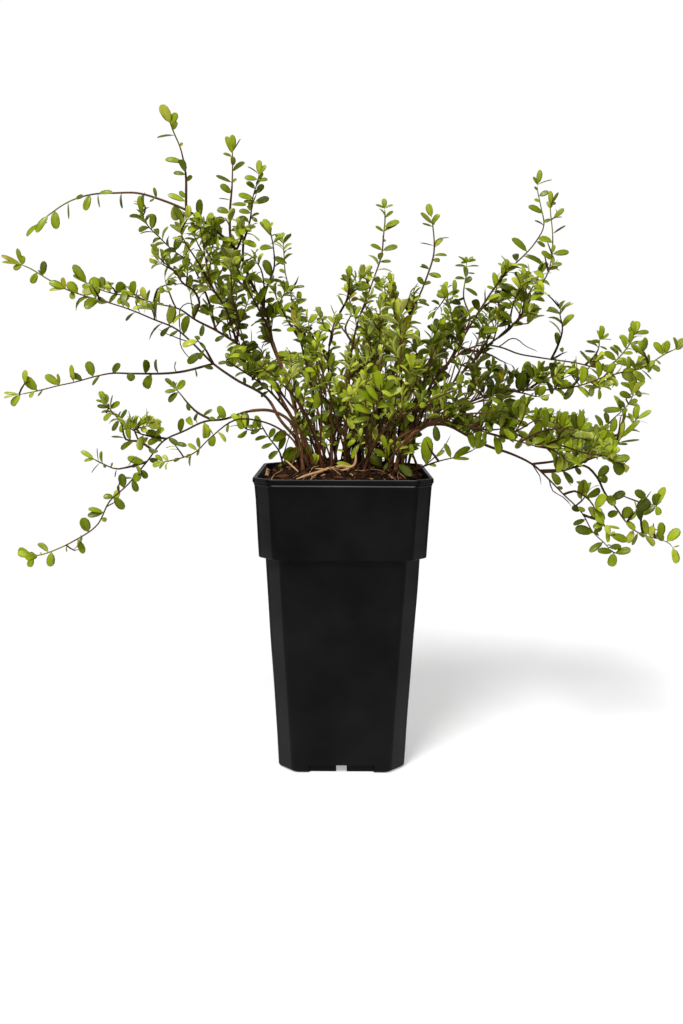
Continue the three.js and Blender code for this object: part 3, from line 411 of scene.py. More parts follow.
# Openings between the shoots, as the camera sees them on the plane y = 0: x, z and radius
OPENINGS = np.array([
    (132, 222, 6.1), (84, 294, 6), (-112, 297, 6), (-175, 132, 8.8), (-132, 219, 7.4), (140, 254, 6.1),
    (-47, 336, 7.2), (191, 172, 6.2), (-10, 281, 6), (-96, 287, 4.8), (152, 178, 5), (121, 223, 4.9),
    (-92, 367, 5.9), (101, 250, 4.9), (37, 291, 6), (-170, 341, 8.3), (-111, 336, 6), (141, 158, 5),
    (-26, 299, 4.8), (-130, 247, 6.1), (-36, 224, 6), (-33, 219, 6), (-37, 214, 5.5), (-37, 209, 5),
    (169, 176, 7.4), (176, 125, 5), (128, 292, 7.2), (180, 190, 6.2), (115, 267, 6.1), (122, 191, 4.9),
    (-145, 169, 5), (-188, 326, 8), (-177, 329, 8.6), (-158, 340, 7.4), (-151, 339, 7.4), (-146, 348, 5.6),
    (-130, 342, 6.8), (-130, 350, 4.3), (-198, 309, 7.4), (-189, 301, 6.8), (-181, 302, 7.4),
    (-172, 286, 4.9), (-162, 298, 7.4), (-163, 286, 4.9), (-153, 297, 4.9), (-207, 226, 6.2),
    (-197, 231, 7.4), (-196, 222, 4.9), (-186, 235, 7.4), (-175, 237, 7.4), (-174, 228, 4.9),
    (-165, 242, 7.4), (-164, 231, 5.6), (-155, 243, 6.8), (-145, 244, 5.6), (-132, 236, 5.6),
    (159, 182, 5.6), (172, 167, 6.2), (167, 156, 5.6), (176, 157, 5.6), (183, 167, 6.8), (191, 165, 7.4),
    (200, 169, 6.8), (205, 160, 6.2), (185, 154, 5.6), (195, 155, 5.6), (190, 146, 5.6), (198, 147, 5.6),
    (207, 145, 6.2), (208, 131, 7.4), (146, 146, 5.6), (161, 130, 4.9), (169, 124, 5.6), (177, 132, 4.9),
    (165, 146, 5.6), (172, 139, 5.6), (159, 163, 5.6), (152, 139, 3.7), (-107, 393, 5.5), (-98, 391, 5.5),
    (-107, 386, 4.1), (-106, 379, 5.5), (-98, 381, 6.2), (-102, 371, 4.8), (-105, 364, 6.2),
    (-101, 357, 6.9), (-89, 355, 6.9), (-98, 349, 6.2), (-69, 378, 4.8), (-72, 371, 5.5), (-64, 371, 5.5),
    (-69, 364, 5.5), (-73, 355, 6.2), (-64, 348, 5.5), (-75, 336, 4.8), (-51, 364, 4.8), (-48, 356, 5.5),
    (-58, 355, 5.5), (-56, 350, 5.5), (-48, 349, 5.5), (-52, 343, 5.5), (-61, 338, 4.8), (110, 355, 4.3),
    (120, 357, 4.9), (112, 350, 4.3), (121, 347, 5.5), (110, 342, 4.9), (127, 339, 4.9), (112, 336, 5.5),
    (122, 335, 5.5), (129, 333, 4.9), (114, 330, 4.9), (133, 329, 4.3), (127, 323, 4.9), (120, 320, 4.9),
    (104, 321, 5.5), (110, 315, 4.9), (122, 314, 4.3), (128, 314, 4.9), (133, 306, 3.7), (23, 343, 4.1),
    (19, 340, 3.2), (26, 334, 4.1), (19, 327, 4.1), (16, 317, 4.5), (49, 339, 4.1), (57, 334, 4.1),
    (48, 329, 4.1), (46, 305, 3.6), (-89, 263, 7.4), (-75, 251, 4.9), (-204, 125, 4.9), (-195, 129, 3.7),
    (-189, 125, 4.3), (-184, 121, 4.9), (-163, 130, 4.9), (-161, 148, 5.5), (-165, 142, 4.3),
    (-155, 151, 4.3), (-140, 159, 5.5), (-145, 155, 3.7), (-146, 145, 4.9), (-153, 140, 4.9),
    (-159, 136, 3.7), (-138, 176, 4.9), (-135, 164, 4.9), (-122, 177, 3.4), (-160, 188, 5.5),
    (-154, 193, 4.3), (-155, 181, 4.3), (-149, 181, 3.7), (-143, 177, 3.7), (-132, 179, 2.7),
    (-108, 234, 3.9), (-102, 225, 4.3), (-83, 217, 3.4), (-99, 211, 3.4), (-64, 209, 3.1), (-72, 207, 2.3),
    (-94, 231, 3.9), (-91, 222, 3.9), (-104, 198, 3.4), (-99, 193, 3.1), (59, 313, 3.4), (58, 308, 3),
    (50, 293, 2.4), (74, 311, 2.7), (78, 310, 3), (68, 305, 3), (80, 304, 3), (68, 298, 3), (200, 249, 6),
    (189, 210, 5), (137, 269, 4), (165, 239, 3), (151, 224, 6), (204, 253, 3), (161, 261, 2.5),
])

# Extra sprigs: shoot, y of the tip, line from the bearing limb outwards, length of its leaves
SPRIGS = [
    ("right_long", -14, [(104, 231), (107, 240), (111, 248)], 11.4),
    ("left_low", -34, [(-122, 207), (-117, 211), (-106, 212)], 10.2),
    ("left_back", 36, [(-129, 286), (-136, 290), (-145, 293)], 10),
    ("right_long", -17, [(147, 236), (149, 235), (159, 227)], 11.4),
    ("left_long", -45, [(-184, 228), (-181, 234), (-170, 237)], 9),
    ("left_arch", 12, [(-70, 329), (-73, 335), (-77, 342)], 10.5),
    ("right_inner", 63, [(69, 292), (66, 288), (57, 276)], 7.8),
    ("right_low", -4, [(186, 162), (174, 166), (162, 173)], 11),
    ("left_arch", 12, [(-187, 329), (-179, 331), (-172, 334)], 11.4),
    ("right_tall", -14, [(101, 271), (108, 270), (117, 280)], 10.3),
    ("right_low", -7, [(184, 157), (192, 160), (201, 170)], 11),
    ("right_low", -34, [(158, 138), (162, 136), (169, 147)], 12),
    ("right_tall_back", 24, [(92, 285), (98, 285), (107, 293)], 10.3),
    ("right_tall", -4, [(124, 311), (120, 320), (114, 326)], 11.2),
    ("left_low", -25, [(-141, 161), (-136, 164), (-128, 168)], 10.2),
    ("right_front", -37, [(158, 190), (164, 190), (164, 201)], 11.7),
    ("left_back", -7, [(-97, 323), (-93, 330), (-87, 337)], 9.2),
    ("centre_tall", 26, [(5, 279), (3, 288), (0, 297)], 7.7),
    ("left_centre", -9, [(-38, 281), (-36, 287), (-32, 295)], 8.5),
    ("right_tall", -4, [(123, 331), (126, 334), (118, 344)], 11.2),
    ("left_long", -10, [(-113, 272), (-114, 277), (-127, 280)], 12.2),
    ("left_arch", -1, [(-55, 339), (-52, 347), (-49, 355)], 11.5),
    ("right_back", 42, [(187, 222), (185, 225), (200, 229)], 11.8),
    ("right_upper", -26, [(44, 245), (42, 255), (43, 266)], 11.1),
    ("left_back", 28, [(-126, 337), (-124, 341), (-131, 351)], 9.7),
    ("left_back", 18, [(-98, 294), (-97, 304), (-96, 313)], 9.2),
    ("left_foot", -22, [(-48, 208), (-56, 207), (-66, 216)], 9.5),
    ("left_thin", -39, [(-92, 192), (-96, 198), (-102, 204)], 7),
    ("left_low", -24, [(-134, 170), (-134, 174), (-122, 181)], 10.2),
    ("right_long", -18, [(170, 243), (177, 244), (186, 243)], 11.4),
    ("right_long", -15, [(123, 232), (130, 233), (138, 236)], 11.4),
    ("right_low", -13, [(183, 147), (195, 147), (204, 147)], 11),
    ("right_upper", -19, [(127, 279), (120, 286), (109, 293)], 9.8),
    ("left_low", -28, [(-165, 138), (-161, 135), (-151, 141)], 10.2),
    ("left_arch", 2, [(-57, 328), (-55, 337), (-53, 345)], 11.5),
    ("left_low", -34, [(-120, 208), (-113, 210), (-105, 212)], 10.2),
    ("right_tall", -4, [(122, 302), (128, 309), (133, 316)], 11.2),
    ("left_low", -20, [(-139, 220), (-141, 216), (-129, 221)], 8.4),
    ("left_back", 12, [(-104, 302), (-113, 307), (-120, 313)], 9.2),
    ("right_front", -58, [(101, 213), (95, 218), (88, 224)], 10.7),
    ("left_centre", 4, [(-20, 232), (-26, 240), (-33, 246)], 9),
    ("centre_front", -20, [(-8, 222), (-14, 229), (-19, 237)], 8.6),
    ("left_back", 6, [(-45, 232), (-46, 242), (-50, 250)], 9),
    ("left_arch", -6, [(-29, 216), (-24, 224), (-21, 231)], 9),
    ("centre_tall", -2, [(2, 214), (-3, 220), (-9, 224)], 8.6),
    ("left_arch", -16, [(-36, 224), (-38, 234), (-38, 242)], 9),
    ("left_arch", 8, [(-45, 264), (-47, 268), (-52, 271)], 10.5),
    ("left_arch", 8, [(-44, 258), (-49, 260), (-55, 261)], 10.5),
    ("left_back", 26, [(-62, 254), (-58, 253), (-50, 252)], 10.5),
    ("front_left", -54, [(-65, 248), (-58, 252), (-54, 255)], 10.5),
    ("front_left", -46, [(-55, 241), (-50, 243), (-45, 247)], 10.5),
    ("front_left", -40, [(-49, 236), (-44, 240), (-39, 243)], 10.5),
    ("back_centre", 134, [(-42, 249), (-39, 251), (-34, 254)], 10.5),
    ("left_arch", 8, [(-46, 272), (-40, 278), (-38, 284)], 10.5),
    ("left_arch", 8, [(-46, 272), (-49, 277), (-53, 281)], 10.5),
    ("left_back", 32, [(-71, 267), (-66, 274), (-63, 280)], 10.5),
    ("left_back", 29, [(-82, 269), (-76, 275), (-71, 280)], 10.5),
    ("left_long", 4, [(-31, 244), (-28, 240), (-23, 241)], 10.5),
    ("left_centre", 9, [(-29, 263), (-23, 267), (-17, 269)], 10.5),
    ("left_centre", 12, [(-30, 274), (-28, 278), (-23, 281)], 10.5),
    ("left_centre", 12, [(-26, 256), (-23, 258), (-17, 259)], 10.5),
    ("back_left", 65, [(-71, 248), (-66, 251), (-60, 256)], 10.5),
    ("front_left", -43, [(-52, 239), (-48, 243), (-44, 249)], 10.5),
    ("left_back", 26, [(-65, 256), (-69, 250), (-75, 248)], 10.5),
    ("right_low", -22, [(57, 211), (65, 215), (71, 220)], 10.5),
    ("right_front", -41, [(61, 211), (68, 210), (72, 206)], 10.5),
    ("right_back", 20, [(57, 211), (60, 218), (62, 223)], 10.5),
    ("right_front", -41, [(66, 209), (73, 213), (78, 217)], 10.5),
    ("right_front", -41, [(70, 207), (78, 206), (83, 203)], 10.5),
    ("right_low", -22, [(60, 211), (64, 220), (67, 226)], 10.5),
]

# Bare stalks, given like sprigs, that carry listed leaves
STALKS = [
    ("left_arch", -8, [(-19, 181), (-19, 186), (-20, 190)], 0),
    ("centre_tall", -14, [(0, 185), (0, 193), (1, 201)], 0),
    ("right_front", -36, [(24, 181), (27, 187), (26, 192), (25, 198)], 0),
    ("right_long", -20, [(35, 182), (33, 185), (33, 188)], 0),
    ("left_centre", -4, [(-18, 226), (-16, 230), (-14, 232)], 0),
    ("front_centre", -22, [(1, 182), (4, 183), (6, 185)], 0),
]

# Leaves listed one by one where they stand out: x and z of the root, from there to the tip, width in
# hundredths of the length, tone
# The tone of each leaf here is its own colour together with its painted light and shade
POSED = {
    "left_foot": [
        (-37, 186, -3, -2, 55, 2), (-39, 194, -6, -5, 48, 2), (-42, 199, -7, -3, 39, 2),
        (-45, 203, -8, -2, 35, 2), (-49, 208, -6, -3, 39, 2), (-49, 208, -3, 5, 48, 2),
        (-49, 210, -3, 6, 47, 3), (-44, 202, 3, 6, 55, 2), (-43, 200, 9, 6, 58, 2), (-39, 194, 4, 9, 48, 2),
        (-37, 189, 7, 7, 55, 2), (-37, 186, 13, 10, 43, 1)],
    "left_arch": [
        (-19, 183, 2, 9, 45, 4), (-19, 182, 4, 9, 31, 5), (-20, 190, -1, 8, 47, 2),
        (-42, 253, 9, -2, 42, 3), (-39, 245, 4, -8, 50, 4), (-40, 249, -8, -9, 50, 1),
        (-39, 245, -6, -9, 50, 1), (-23, 191, -3, 6, 45, 1), (-25, 200, 4, 6, 40, 1),
        (-185, 329, -9, -7, 40, 3), (-180, 335, -7, -11, 37, 3), (-176, 338, 1, -12, 46, 3),
        (-164, 344, 6, 2, 55, 1), (-155, 347, -2, -10, 42, 3), (-150, 347, 10, 1, 33, 3),
        (-150, 347, 2, -8, 13, 1), (-136, 348, 2, -10, 17, 0), (-168, 342, 1, -10, 10, 1),
        (-106, 390, -5, 10, 53, 5), (-106, 389, 4, 7, 66, 3), (-104, 386, 2, 5, 59, 2),
        (-103, 383, -11, -2, 13, 1), (-100, 376, 2, 2, 79, 6), (-97, 366, -12, 2, 34, 3),
        (-96, 359, -8, 1, 37, 2), (-96, 355, 4, 3, 66, 1), (-96, 345, -4, 4, 53, 3),
        (-96, 343, -11, 4, 32, 4), (-113, 344, -2, 7, 33, 2), (-87, 333, 0, 11, 48, 1),
        (-69, 374, -4, 10, 37, 4), (-69, 375, 0, 10, 42, 4), (-69, 375, 5, 8, 8, 0),
        (-69, 372, -6, 2, 37, 2), (-69, 366, 0, 6, 59, 2), (-69, 363, 8, 5, 37, 1),
        (-69, 356, -10, 4, 22, 1), (-69, 356, 3, 2, 66, 3), (-69, 349, -7, 5, 55, 2),
        (-70, 345, -7, 1, 11, 0), (-70, 342, 10, 0, 34, 2), (-70, 337, -8, 2, 55, 2),
        (-50, 356, 0, 8, 44, 4), (-50, 356, 4, 5, 44, 3), (-50, 356, -7, 4, 11, 0),
        (-51, 353, -8, 1, 44, 3), (-51, 352, 6, 1, 50, 2), (-53, 348, -5, 4, 59, 2),
        (-52, 346, 4, 5, 59, 1), (-54, 343, -9, 2, 48, 3), (-54, 341, 9, 3, 44, 2), (-56, 336, 0, 7, 44, 4),
        (-56, 335, -7, 1, 48, 2), (-56, 333, 5, 2, 48, 2), (-44, 258, -6, 4, 44, 0),
        (-40, 249, 5, 3, 44, 2), (-40, 249, 7, -3, 44, 2), (-52, 280, -5, 4, 44, 1),
        (-47, 276, 6, -1, 55, 2), (-49, 283, 7, 2, 44, 2), (-45, 267, 7, -1, 33, 1),
        (-52, 350, 2, 3, 55, 3), (-54, 345, 4, 3, 50, 1), (-55, 340, 4, 1, 44, 3), (-55, 341, -5, 0, 44, 2),
        (-56, 333, 4, -3, 44, 1), (-51, 353, 3, 4, 44, 2), (-56, 336, -2, 3, 44, 3)],
    "centre_tall": [
        (3, 199, -6, 8, 43, 3), (-2, 207, -10, -6, 39, 2), (-2, 198, -6, -2, 47, 3), (1, 201, 4, 4, 39, 4),
        (2, 211, 4, -6, 50, 1), (3, 233, 4, -6, 45, 1), (4, 239, 5, -5, 50, 2), (25, 341, -1, 6, 55, 4),
        (25, 341, -6, 2, 28, 2), (25, 341, 5, 2, 33, 3), (25, 335, 5, 4, 39, 2), (25, 330, 9, 3, 39, 3),
        (24, 327, -5, 3, 39, 2), (24, 316, -8, 3, 39, 2), (24, 316, 9, 2, 39, 2), (22, 308, 7, 1, 39, 2)],
    "front_rosette": [
        (16, 219, -12, 4, 41, 3), (15, 217, -10, -3, 36, 3), (16, 219, 4, -3, 47, 3),
        (18, 222, 10, 2, 39, 3), (20, 228, 13, 5, 32, 4), (20, 231, -2, 12, 48, 3), (19, 226, -7, 9, 32, 3),
        (18, 224, -11, 9, 43, 2), (20, 230, 8, 8, 39, 1), (20, 232, 6, -3, 36, 4), (14, 213, -4, -2, 39, 3)],
    "right_upper": [
        (43, 217, -8, -11, 33, 3), (39, 211, -1, -12, 39, 2), (40, 223, 3, 3, 33, 2),
        (182, 266, -2, 8, 42, 4), (182, 266, 9, 1, 35, 2), (179, 260, 0, 8, 40, 3),
        (177, 257, -4, 8, 31, 3), (179, 260, 6, 1, 33, 2), (175, 254, -7, 5, 31, 1),
        (175, 254, 6, 0, 42, 3), (170, 249, -8, 5, 55, 2), (170, 249, 7, 1, 42, 3),
        (161, 262, -3, 6, 40, 4), (161, 262, 0, 7, 40, 3), (161, 262, 5, 4, 31, 3),
        (160, 262, -7, -2, 26, 1), (161, 262, 7, 0, 8, 1), (159, 254, -9, 1, 20, 0),
        (160, 258, 5, -2, 26, 1), (155, 250, -5, 1, 46, 3)],
    "right_front": [
        (25, 197, -3, 9, 41, 3), (26, 190, 0, 10, 39, 3), (26, 191, -8, 5, 48, 2), (23, 186, -8, 6, 62, 1),
        (27, 187, -1, 5, 35, 4), (27, 189, -3, -5, 39, 1), (129, 211, 0, 10, 44, 2),
        (127, 211, -2, 9, 46, 0), (129, 211, 8, 1, 46, 1), (156, 191, 6, -7, 77, 1),
        (155, 192, 10, 2, 46, 2)],
    "right_long": [
        (33, 187, 8, -7, 51, 1), (196, 256, -3, 7, 31, 2), (190, 254, 0, 7, 50, 3),
        (188, 252, -6, 8, 46, 3), (176, 251, -5, 4, 50, 2), (185, 250, -7, -6, 44, 3),
        (182, 248, -2, -6, 42, 3), (185, 250, 2, -3, 39, 2), (176, 244, 6, -6, 11, 0),
        (173, 244, -4, 6, 35, 1), (173, 244, -8, -1, 40, 2), (155, 239, -3, -6, 50, 3),
        (152, 233, 0, -7, 50, 3), (152, 233, -9, 1, 26, 2), (137, 233, -6, -7, 40, 1)],
    "front_right": [
        (10, 200, -5, -9, 34, 3)],
    "right_centre": [
        (23, 208, 8, -1, 48, 1), (50, 330, -2, 8, 50, 4), (51, 327, -7, 6, 28, 2), (51, 327, 4, 5, 55, 3),
        (51, 325, -6, 2, 22, 1), (52, 314, -8, 2, 9, 0), (52, 306, 4, 0, 44, 3), (50, 301, -5, 3, 33, 1),
        (49, 299, 7, -2, 39, 3), (52, 309, 8, 0, 28, 2), (52, 306, 4, 0, 61, 2), (50, 301, -6, 2, 28, 1),
        (49, 299, 8, -2, 36, 2), (47, 292, -4, 5, 55, 1), (47, 292, 4, 2, 55, 1), (44, 284, -5, 3, 39, 1),
        (44, 284, 5, -1, 39, 1), (52, 317, 9, 2, 9, 1)],
    "left_centre": [
        (-14, 232, -3, -13, 48, 3), (-21, 237, 7, 8, 48, 3), (-25, 254, 5, -5, 55, 2),
        (-18, 226, -5, -7, 45, 1), (-16, 219, -7, -4, 50, 1), (-15, 214, -6, -5, 50, 1),
        (-20, 235, -5, 7, 45, 3), (-19, 230, -6, -3, 45, 1), (-23, 247, -10, -4, 42, 2),
        (-29, 263, 7, -2, 44, 1), (-29, 270, 5, -4, 55, 1), (-30, 274, 8, -2, 39, 1),
        (-31, 277, 8, 2, 28, 1), (-32, 286, 8, -1, 22, 1), (-32, 292, 8, 1, 28, 1), (-32, 282, 7, 4, 22, 1)],
    "centre_front": [
        (-9, 243, 3, 10, 34, 4), (-7, 218, -7, -6, 45, 2), (-7, 210, -6, -5, 45, 1),
        (-8, 234, 4, -6, 50, 2), (-8, 228, 5, -5, 45, 2), (-8, 222, -5, 4, 45, 1), (-23, 263, 6, -5, 44, 2)],
    "front_centre": [
        (6, 185, -10, 3, 32, 4)],
    "right_foot": [
        (55, 192, 5, 4, 37, 3), (51, 187, 5, -1, 43, 3), (50, 186, 0, 18, 41, 3), (64, 191, -4, 9, 33, 3),
        (65, 191, 10, 7, 36, 3), (64, 191, 11, 0, 18, 3), (77, 197, -4, 11, 36, 3), (78, 197, 6, 6, 48, 3),
        (78, 197, 2, 13, 32, 3), (42, 192, -2, 7, 47, 3), (43, 189, -2, 3, 39, 2)],
    "right_low": [
        (54, 211, 2, -10, 43, 1), (152, 180, 6, 7, 55, 1), (152, 180, 6, -2, 86, 1),
        (161, 166, 9, 5, 49, 1), (167, 159, -7, -3, 62, 2), (170, 154, 3, 8, 74, 2),
        (176, 160, 6, 8, 74, 0), (184, 155, 7, 7, 55, 1), (188, 165, -8, 5, 52, 1),
        (193, 161, -2, 8, 80, 1), (193, 161, 4, 12, 37, 4), (185, 143, -2, 11, 37, 3),
        (188, 143, 0, 7, 62, 5), (194, 141, 0, 11, 55, 2), (199, 139, 7, 9, 52, 4),
        (203, 136, 2, -10, 52, 4), (171, 153, 6, -5, 49, 3), (180, 146, -4, -8, 25, 1),
        (141, 161, -6, 2, 74, 0), (144, 156, -8, -3, 39, 1), (148, 148, -11, 3, 49, 1),
        (148, 148, 5, 4, 55, 1), (155, 143, -9, -6, 39, 2), (160, 137, -10, 1, 39, 2),
        (161, 136, 9, 3, 47, 2), (161, 137, -2, -9, 62, 3), (153, 150, 10, -3, 52, 2),
        (153, 150, -3, 6, 55, 5), (151, 154, 9, -1, 20, 3), (146, 164, 5, 9, 52, 4),
        (150, 157, -7, -3, 52, 2), (150, 156, -6, 4, 55, 3), (173, 153, 4, 6, 55, 4),
        (183, 152, -4, 8, 55, 0), (193, 161, 1, -6, 77, 3), (203, 136, 4, 1, 22, 3),
        (192, 142, 1, 4, 50, 2), (180, 146, 4, -3, 55, 1), (151, 155, -4, -3, 44, 1),
        (152, 153, 1, -8, 33, 4), (157, 140, 8, 0, 50, 1), (153, 150, 3, 2, 44, 3),
        (139, 163, 4, -2, 50, 3), (137, 173, 3, -4, 55, 2), (139, 172, 5, -3, 39, 3),
        (130, 184, 6, -7, 39, 1), (126, 175, 4, -1, 55, 1), (137, 187, 4, -5, 55, 1)],
    "left_long": [
        (-190, 303, -1, 9, 29, 3), (-190, 303, 2, 5, 66, 3), (-190, 303, -4, -3, 61, 3),
        (-177, 296, 1, 9, 46, 1), (-177, 296, -3, 4, 28, 1), (-180, 298, -4, -6, 55, 3),
        (-164, 289, -10, 4, 46, 3), (-164, 289, -10, -1, 22, 5), (-164, 289, -2, 7, 44, 6),
        (-157, 286, -6, 7, 66, 3), (-161, 288, 1, -5, 66, 3), (-184, 228, -9, 1, 19, 4),
        (-184, 228, -9, -2, 19, 5), (-175, 230, -6, 8, 55, 3), (-163, 233, -8, 6, 48, 3),
        (-163, 233, -1, 7, 28, 6), (-156, 235, 0, 10, 28, 4), (-151, 236, -7, 3, 55, 1),
        (-145, 238, -3, 9, 55, 2), (-142, 239, -4, -6, 28, 1), (-135, 240, 5, 6, 50, 1),
        (-127, 240, 4, -4, 83, 1), (-172, 231, -3, -4, 22, 2), (-56, 232, 6, 3, 55, 0),
        (-59, 233, -1, 5, 44, 0), (-85, 259, 4, -5, 33, 1), (-86, 253, -8, -7, 44, 1),
        (-84, 244, 6, -1, 39, 1), (-89, 243, 1, -5, 22, 1), (-87, 262, 3, -2, 66, 1),
        (-190, 303, -11, 5, 20, 6), (-190, 303, -10, 1, 20, 3)],
    "left_back": [
        (-166, 297, -7, 11, 40, 3), (-166, 297, -8, 5, 44, 2), (-156, 293, 1, 8, 55, 2),
        (-146, 290, 5, 7, 72, 1), (-136, 288, 2, 10, 46, 2), (-127, 339, 0, 10, 40, 3),
        (-65, 256, 5, 4, 55, 0), (-62, 254, 8, 4, 55, 0), (-47, 236, 7, 2, 55, 3), (-79, 266, 6, -3, 44, 1),
        (-76, 264, -6, -4, 39, 1), (-73, 262, 6, -4, 33, 1), (-67, 264, 7, -2, 50, 1),
        (-66, 267, 7, 3, 44, 0), (-83, 276, 5, -4, 44, 1), (-89, 270, -2, -7, 39, 1),
        (-72, 276, 5, -2, 44, 2), (-75, 278, -6, -2, 44, 2), (-86, 285, 12, 1, 50, 3),
        (-91, 282, 6, -6, 44, 1)],
    "right_tall_back": [
        (120, 357, 1, 9, 40, 4), (120, 357, -3, 5, 36, 2), (120, 357, 9, 3, 9, 0), (120, 353, -2, 3, 44, 1),
        (122, 346, -4, 2, 66, 3), (121, 350, 6, 3, 55, 2), (123, 340, -9, 4, 40, 2),
        (124, 333, -6, 2, 20, 0), (120, 323, 5, -4, 46, 1), (114, 315, -10, 9, 35, 2),
        (111, 313, 13, -5, 30, 1), (96, 293, -2, 11, 33, 4), (97, 295, 2, 6, 36, 3),
        (96, 293, -6, 2, 36, 3), (97, 296, 6, 4, 36, 3), (99, 304, -1, 6, 44, 4), (99, 304, 3, 4, 39, 3)],
    "right_tall": [
        (122, 340, -1, 8, 40, 4), (122, 340, 4, 7, 22, 1), (122, 340, 3, 1, 66, 0), (124, 332, 6, 6, 36, 3),
        (123, 332, -5, -2, 42, 2), (124, 332, 5, 1, 15, 1), (124, 324, 7, 4, 14, 0),
        (124, 318, -9, 2, 50, 3), (124, 311, 10, 2, 39, 2), (124, 308, -7, 5, 46, 2),
        (123, 305, 7, 1, 39, 2), (124, 312, 1, 5, 46, 3), (114, 298, -1, 6, 83, 2)],
    "right_back": [
        (191, 231, -10, 4, 31, 2), (191, 231, 4, -5, 61, 2), (189, 225, -9, 3, 55, 2),
        (187, 221, 6, 3, 50, 3), (185, 219, -6, 4, 55, 1), (183, 217, -13, 0, 31, 3),
        (178, 213, -2, -10, 46, 3), (173, 216, 3, 4, 50, 3), (188, 212, 9, 6, 30, 4),
        (179, 199, 11, 13, 20, 3), (177, 197, 2, 15, 29, 5), (176, 199, -9, 3, 55, 2),
        (177, 197, 14, 2, 11, 1), (177, 196, 7, 0, 22, 1), (173, 208, -2, 8, 46, 1)],
    "back_left": [
        (-70, 248, 5, 4, 66, 1), (-65, 245, -5, 5, 55, 0), (-74, 250, -2, 7, 55, 1),
        (-57, 240, -4, -5, 44, 0), (-56, 239, 5, 3, 55, 1)],
    "front_centre_left": [
        (-46, 248, 4, 4, 55, 0), (-45, 247, 5, 4, 55, 0), (-36, 239, 5, 4, 44, 2), (-38, 241, -3, 4, 44, 1)],
    "front_left": [
        (-64, 247, -6, -1, 39, 1), (-61, 245, -5, 1, 44, 1), (-55, 241, 4, 3, 44, 1),
        (-48, 235, 5, -3, 55, 1), (-46, 233, -4, -2, 44, 1)],
    "right_inner": [
        (79, 311, -1, 4, 55, 3), (79, 311, 4, 4, 33, 3), (79, 311, -6, 4, 15, 1), (79, 311, 6, 2, 33, 2),
        (79, 311, -4, 0, 44, 2), (79, 308, 8, 1, 15, 1), (79, 308, -8, 1, 22, 1), (79, 305, 5, -1, 26, 0),
        (78, 300, -7, 1, 36, 1), (78, 298, 4, 4, 61, 1), (77, 295, 9, -5, 30, 1), (69, 289, -4, 10, 36, 3),
        (69, 290, 0, 9, 33, 3), (69, 292, 8, 3, 36, 2)],
    "left_low": [
        (-186, 132, -8, 2, 50, 4), (-186, 132, -1, -7, 55, 3), (-183, 132, -4, 2, 39, 1),
        (-175, 134, 0, -9, 53, 3), (-179, 133, -2, 1, 28, 1), (-165, 138, 0, -4, 22, 2),
        (-158, 142, 3, -9, 46, 3), (-152, 146, -3, 9, 61, 2), (-144, 154, 3, -1, 77, 2),
        (-143, 157, -9, 3, 33, 3), (-143, 157, -9, -1, 39, 1), (-137, 167, -6, 0, 61, 2),
        (-137, 167, 7, -7, 50, 1), (-131, 172, -1, 9, 53, 1), (-134, 170, 0, 4, 44, 0),
        (-126, 177, 3, -7, 50, 1), (-121, 183, 4, -5, 61, 1), (-121, 187, -5, -2, 44, 3),
        (-146, 190, -8, 5, 33, 4), (-146, 190, -6, -1, 36, 3), (-144, 188, 0, 9, 7, 0),
        (-143, 188, -5, -6, 8, 0), (-141, 187, 1, -2, 77, 1), (-137, 185, 1, 3, 44, 2),
        (-134, 184, -1, -5, 15, 0), (-128, 185, 6, 7, 6, 0), (-139, 220, -7, 1, 36, 1),
        (-139, 219, 7, 4, 50, 2), (-137, 217, -5, -5, 46, 3), (-134, 213, 2, 5, 22, 1),
        (-133, 212, 5, 7, 28, 1), (-133, 213, -4, -7, 36, 1), (-132, 210, 0, -5, 44, 3),
        (-125, 210, 2, 5, 44, 2), (-100, 230, 5, 6, 53, 3), (-100, 230, -7, -1, 36, 2),
        (-102, 232, -5, 5, 44, 2), (-99, 229, -6, -6, 53, 1), (-94, 223, 2, -5, 55, 1),
        (-87, 217, -2, -5, 36, 0), (-84, 215, 6, 4, 31, 1), (-76, 213, -4, 1, 61, 2),
        (-76, 213, 4, 3, 44, 2), (-87, 210, -1, 4, 15, 0), (-97, 205, 2, 9, 46, 1),
        (-97, 205, -1, 6, 22, 1), (-104, 202, 6, -4, 44, 1), (-116, 189, 6, -1, 55, 1)],
    "left_thin": [
        (-62, 214, 3, -6, 61, 2), (-67, 212, -1, -6, 33, 2), (-75, 205, -2, -7, 61, 2),
        (-83, 197, -1, 7, 36, 2), (-83, 197, -2, -4, 33, 2), (-88, 194, -3, -2, 61, 3),
        (-94, 192, -4, -2, 55, 1), (-98, 200, 8, -1, 36, 1), (-53, 213, 2, -5, 55, 2)],
}

# Shaded places inside the crown, where fewer leaves are kept and leaves are darker as painted shade: x, z,
# reach, how much darker
SHADED_THICKETS = [(88, 250, 36, 0.34), (-58, 262, 28, 0.16), (82, 230, 32, 0.26)]

# The crown's heart and its reach from there: x, y, z
HEART = np.array([0, 0, 205])
CROWN = np.array([185, 135, 175])

# Pieces of foliage and the shoots that each takes up
REGIONS = {
    "left": ("left_arch", "left_long", "left_low", "left_back", "left_thin", "left_foot"),
    "centre": ("left_centre", "centre_tall", "centre_front", "right_centre", "right_inner", "front_rosette"),
    "upper_right": ("right_tall_back", "right_tall", "right_upper", "right_long"),
    "lower_right": ("right_back", "right_low", "right_front", "right_foot"),
    "back": ("back_left", "back_centre", "back_tall", "back_right", "back_far_right"),
    "front": ("front_left", "front_centre_left", "front_centre", "front_right", "front_far_right"),
}


def unit(v):
    v = np.asarray(v, float)
    return v / np.maximum(np.linalg.norm(v, axis=-1, keepdims=True), 1e-9)


def lerp(a, b, t):
    return a + (b - a) * t


def vary(rng, middle, spread):
    return middle + spread * (rng.random() - 0.5)


